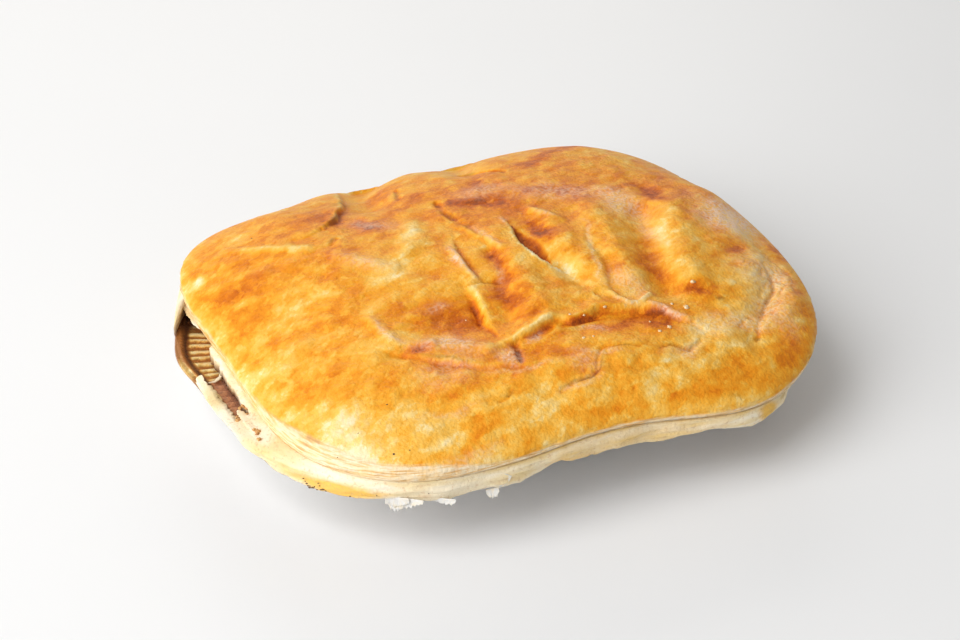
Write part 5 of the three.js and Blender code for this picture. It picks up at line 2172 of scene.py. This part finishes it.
@dataclass(frozen=True)
class Scatter:
    """Small rounded bits, each at a place and of a size in mm."""

    name: str
    places: list[tuple[Array, float]]
    flatness: float
    seed: int
    rings: int = 5
    steps: int = 10
    lumps: Pair = (0.6, 1.25)

    def build(self, finish: SpeckFinish, slot: Slot) -> Piece:
        """Build and dress the bits.

        Args:
            finish: their finish.
            slot: not used.

        Returns:
            All bits in one piece.
        """
        random = np.random.default_rng(self.seed)
        bits = []
        for place, size in self.places:
            points, faces = self.bit(size, random)
            bits.append((points + place, faces))
        piece = make_piece(self.name, *joined(bits), finish.material())
        put_on_pie(piece)
        return piece

    def bit(self, size: float, random: np.random.Generator) -> Solid:
        """Make one uneven bit.

        Args:
            size: its width in mm.
            random: where its lumps come from.

        Returns:
            Its points and faces.
        """
        points = []
        for ring in range(self.rings):
            tilt = math.pi * (ring + 0.5) / self.rings - math.pi / 2
            for step in range(self.steps):
                turn = 2 * math.pi * step / self.steps
                reach = size / 2 * random.uniform(*self.lumps)
                flat = reach * self.flatness
                level = reach * math.cos(tilt)
                points.append((level * math.cos(turn), level * math.sin(turn), flat * math.sin(tilt)))
        return np.array(points), capped_rings(self.rings, self.steps)


# The studio


@dataclass(frozen=True)
class SoftBox:
    """A large soft light: where it hangs and its size, in metres, its power and its colour."""

    name: str
    at: Triple
    size: Pair
    power: float
    colour: Colour = (1.0, 1.0, 1.0)

    def build(self, aim: Vector) -> None:
        """Hang the light.

        Args:
            aim: the place that the light faces, in metres.
        """
        light = bpy.data.lights.new(self.name, "AREA")
        light.shape = "RECTANGLE"
        light.size, light.size_y = self.size
        light.energy = self.power
        light.color = self.colour
        lamp = bpy.data.objects.new(self.name, light)
        lamp.location = self.at
        lamp.rotation_mode = "QUATERNION"
        lamp.rotation_quaternion = (aim - Vector(self.at)).to_track_quat("-Z", "Y")
        bpy.context.scene.collection.objects.link(lamp)


@dataclass(frozen=True)
class Studio:
    """The pale floor, the lights, the sky and the camera."""

    azimuth: float = -25.8
    elevation: float = 35.0
    distance: float = 645
    target: Triple = (5.6, 0.5, 24.5)
    offset: Pair = (-4.2, -6.9)
    lens: float = 85
    floor_size: float = 6.0
    floor_colour: Colour = (0.90, 0.90, 0.90)
    horizon: float = 0.50
    zenith: float = 0.26
    zenith_start: float = 0.6
    lights: tuple[SoftBox, ...] = (
        SoftBox("key", (-1.05, -0.15, 0.85), (1.1, 1.7), 25.0),
        SoftBox("back_card", (0.30, 1.05, 0.50), (0.9, 0.4), 2.9, (1.0, 0.95, 0.87)),
    )

    def build(self) -> None:
        """Set up the whole studio."""
        self.lay_floor()
        self.make_sky()
        for light in self.lights:
            light.build(Vector(self.target) * MM)
        self.place_camera()
        bpy.context.scene.view_settings.view_transform = "Standard"

    def lay_floor(self) -> None:
        """Lay the pale floor."""
        half = self.floor_size / MM / 2
        corners = np.array([[-half, -half, 0], [half, -half, 0], [half, half, 0], [-half, half, 0]], float)
        graph = Graph("pale_floor")
        shade = graph.span(graph.noise(120, 2), 0.3, 0.7, 0.985, 1.0)
        graph.set(Base_Color=graph.blend(shade, (0.0, 0.0, 0.0), self.floor_colour))
        graph.set(Roughness=graph.add_waves(0.5, graph.noise(60, 2), 0.1))
        floor = make_piece("floor", corners, [[0, 1, 2, 3]], graph.material)

    def make_sky(self) -> None:
        """Make a soft white surround, brighter near the horizon."""
        world = bpy.data.worlds.new("studio")
        bpy.context.scene.world = world
        world.use_nodes = True
        tree = world.node_tree
        place = tree.nodes.new("ShaderNodeTexCoord")
        split = tree.nodes.new("ShaderNodeSeparateXYZ")
        ramp = tree.nodes.new("ShaderNodeValToRGB")
        ramp.color_ramp.elements[0].color = (self.horizon,) * 3 + (1.0,)
        ramp.color_ramp.elements[1].color = (self.zenith,) * 3 + (1.0,)
        ramp.color_ramp.elements[1].position = self.zenith_start
        tree.links.new(place.outputs["Generated"], split.inputs["Vector"])
        tree.links.new(split.outputs["Z"], ramp.inputs["Fac"])
        tree.links.new(ramp.outputs["Color"], tree.nodes["Background"].inputs["Color"])

    def place_camera(self) -> None:
        """Place the camera at the picture's angle."""
        turn, rise = math.radians(self.azimuth), math.radians(self.elevation)
        back = Vector((math.sin(turn) * math.cos(rise), -math.cos(turn) * math.cos(rise), math.sin(rise)))
        right = Vector((math.cos(turn), math.sin(turn), 0))
        up = back.cross(right)
        place = Vector(self.target) + back * self.distance + right * self.offset[0] + up * self.offset[1]
        data = bpy.data.cameras.new("camera")
        data.lens = self.lens
        camera = bpy.data.objects.new("camera", data)
        camera.location = place * MM
        camera.rotation_mode = "QUATERNION"
        camera.rotation_quaternion = (-back).to_track_quat("-Z", "Y")
        bpy.context.scene.collection.objects.link(camera)
        bpy.context.scene.camera = camera


SALT = SpeckFinish("salt", (0.90, 0.74, 0.50), (0.80, 0.52, 0.22), 0.35)
BURNT = SpeckFinish("burnt", (0.07, 0.032, 0.018), (0.16, 0.07, 0.03), 0.6)
TOASTED = SpeckFinish("toasted", (0.78, 0.44, 0.14), (0.44, 0.18, 0.06), 0.6)

# Bits on the lid: places along X and Y from its centre, and widths, in mm
SALT_PLACES = (
    (43.9, -35, 1.5), (37, -43.2, 1.7), (33.9, -40.8, 1.0), (28.6, -48.7, 1.4), (25.2, -49.7, 1.2),
    (25, -44.5, 0.7), (4.3, -45.1, 1.1), (8.7, -36.9, 0.8), (5.1, -35.6, 0.9), (15.8, -35.7, 1.0),
    (7, -45.6, 0.7), (-20, -23, 0.5),
)
SPECK_PLACES = (
    (-57.8, -59.5, 0.7), (-53.8, -60.5, 0.5), (-63.6, -50.1, 0.35), (-53.4, -45.5, 0.5), (-38.5, -31, 0.5),
    (-57.1, 41.7, 0.5), (-70.5, -52.5, 0.35),
)

# Bits on the band: headings in degrees, levels from its foot, and widths in mm
BAND_SPECK_PLACES = (
    (-148.9, 0.40, 0.5), (-148.6, 0.28, 0.4), (-148.4, 0.18, 0.6), (-148.2, 0.08, 0.7), (-148.0, 0.00, 0.8),
    (-147.8, 0.12, 0.5), (-147.6, 0.03, 0.6), (-147.3, 0.08, 0.9), (-147.0, 0.16, 0.5), (-146.6, 0.02, 0.5),
    (-146.2, 0.42, 0.5), (-146.0, 0.30, 0.4), (-145.8, 0.10, 0.7), (-145.4, 0.14, 0.9), (-145.0, 0.05, 0.6),
    (-140.6, 0.06, 0.5), (-135.9, 0.30, 0.4), (-127.5, 0.55, 0.4),
)

# Bits in the tear: places along X, Y and Z, and widths, in mm
CRUMB_PLACES = (
    (-78.0, -15.9, 23.2, 1.3), (-77.0, -15.5, 23.3, 1.7), (-76.6, -17.0, 23.4, 1.2),
    (-77.4, -19.5, 23.5, 0.9), (-80.3, -20.5, 23.2, 1.5), (-80.1, -19.0, 23.1, 1.0),
    (-78.2, -26.9, 23.6, 1.4), (-78.1, -28.8, 23.6, 1.1), (-77.6, -28.0, 23.8, 1.5),
    (-78.4, -30.9, 23.5, 1.3),
)


def main() -> None:
    """Build the pie and its studio."""
    logging.basicConfig(level=logging.INFO, format="%(name)s %(message)s")
    lid_form, tray_form, relief = LidForm(), TrayForm(), CrustRelief()
    pale = PalePastry()
    tray = FoilTray(tray_form).build(BakedFoil())
    put_on_pie(tray, Node.TRAY)
    pastry_base = PastryBase(lid_form, tray_form)
    base = pastry_base.build(pale)
    put_on_pie(base, Node.BASE)
    pastry_lid = PastryLid(lid_form, relief, CrustPaint())
    lid = pastry_lid.build(GlazedCrust())
    put_on_pie(lid, Node.LID)
    flakes, films = TornFlakes(pastry_base).build(ThinPastry(), pale)
    put_on_pie(flakes)
    put_on_pie(films)
    grains = [(pastry_lid.on_crust(x, y), size) for x, y, size in SALT_PLACES]
    salt = Scatter("salt_grains", grains, flatness=0.7, seed=1).build(SALT, Slot.PALE)
    burnt = [(pastry_lid.on_crust(x, y), size) for x, y, size in SPECK_PLACES]
    burnt += [(pastry_base.on_band(at, level), size) for at, level, size in BAND_SPECK_PLACES]
    specks = Scatter("burnt_specks", burnt, flatness=0.4, seed=2).build(BURNT, Slot.GOLDEN)
    toasted = [(np.array(place), size) for *place, size in CRUMB_PLACES]
    crumbs = Scatter("toasted_crumbs", toasted, flatness=0.6, seed=4).build(TOASTED, Slot.GOLDEN)
    for piece in (tray, base, lid, flakes, films, salt, specks, crumbs):
        LOG.info("%s: %d faces", piece.name, len(piece.data.polygons))
    Studio().build()


if __name__ == "__main__":
    main()
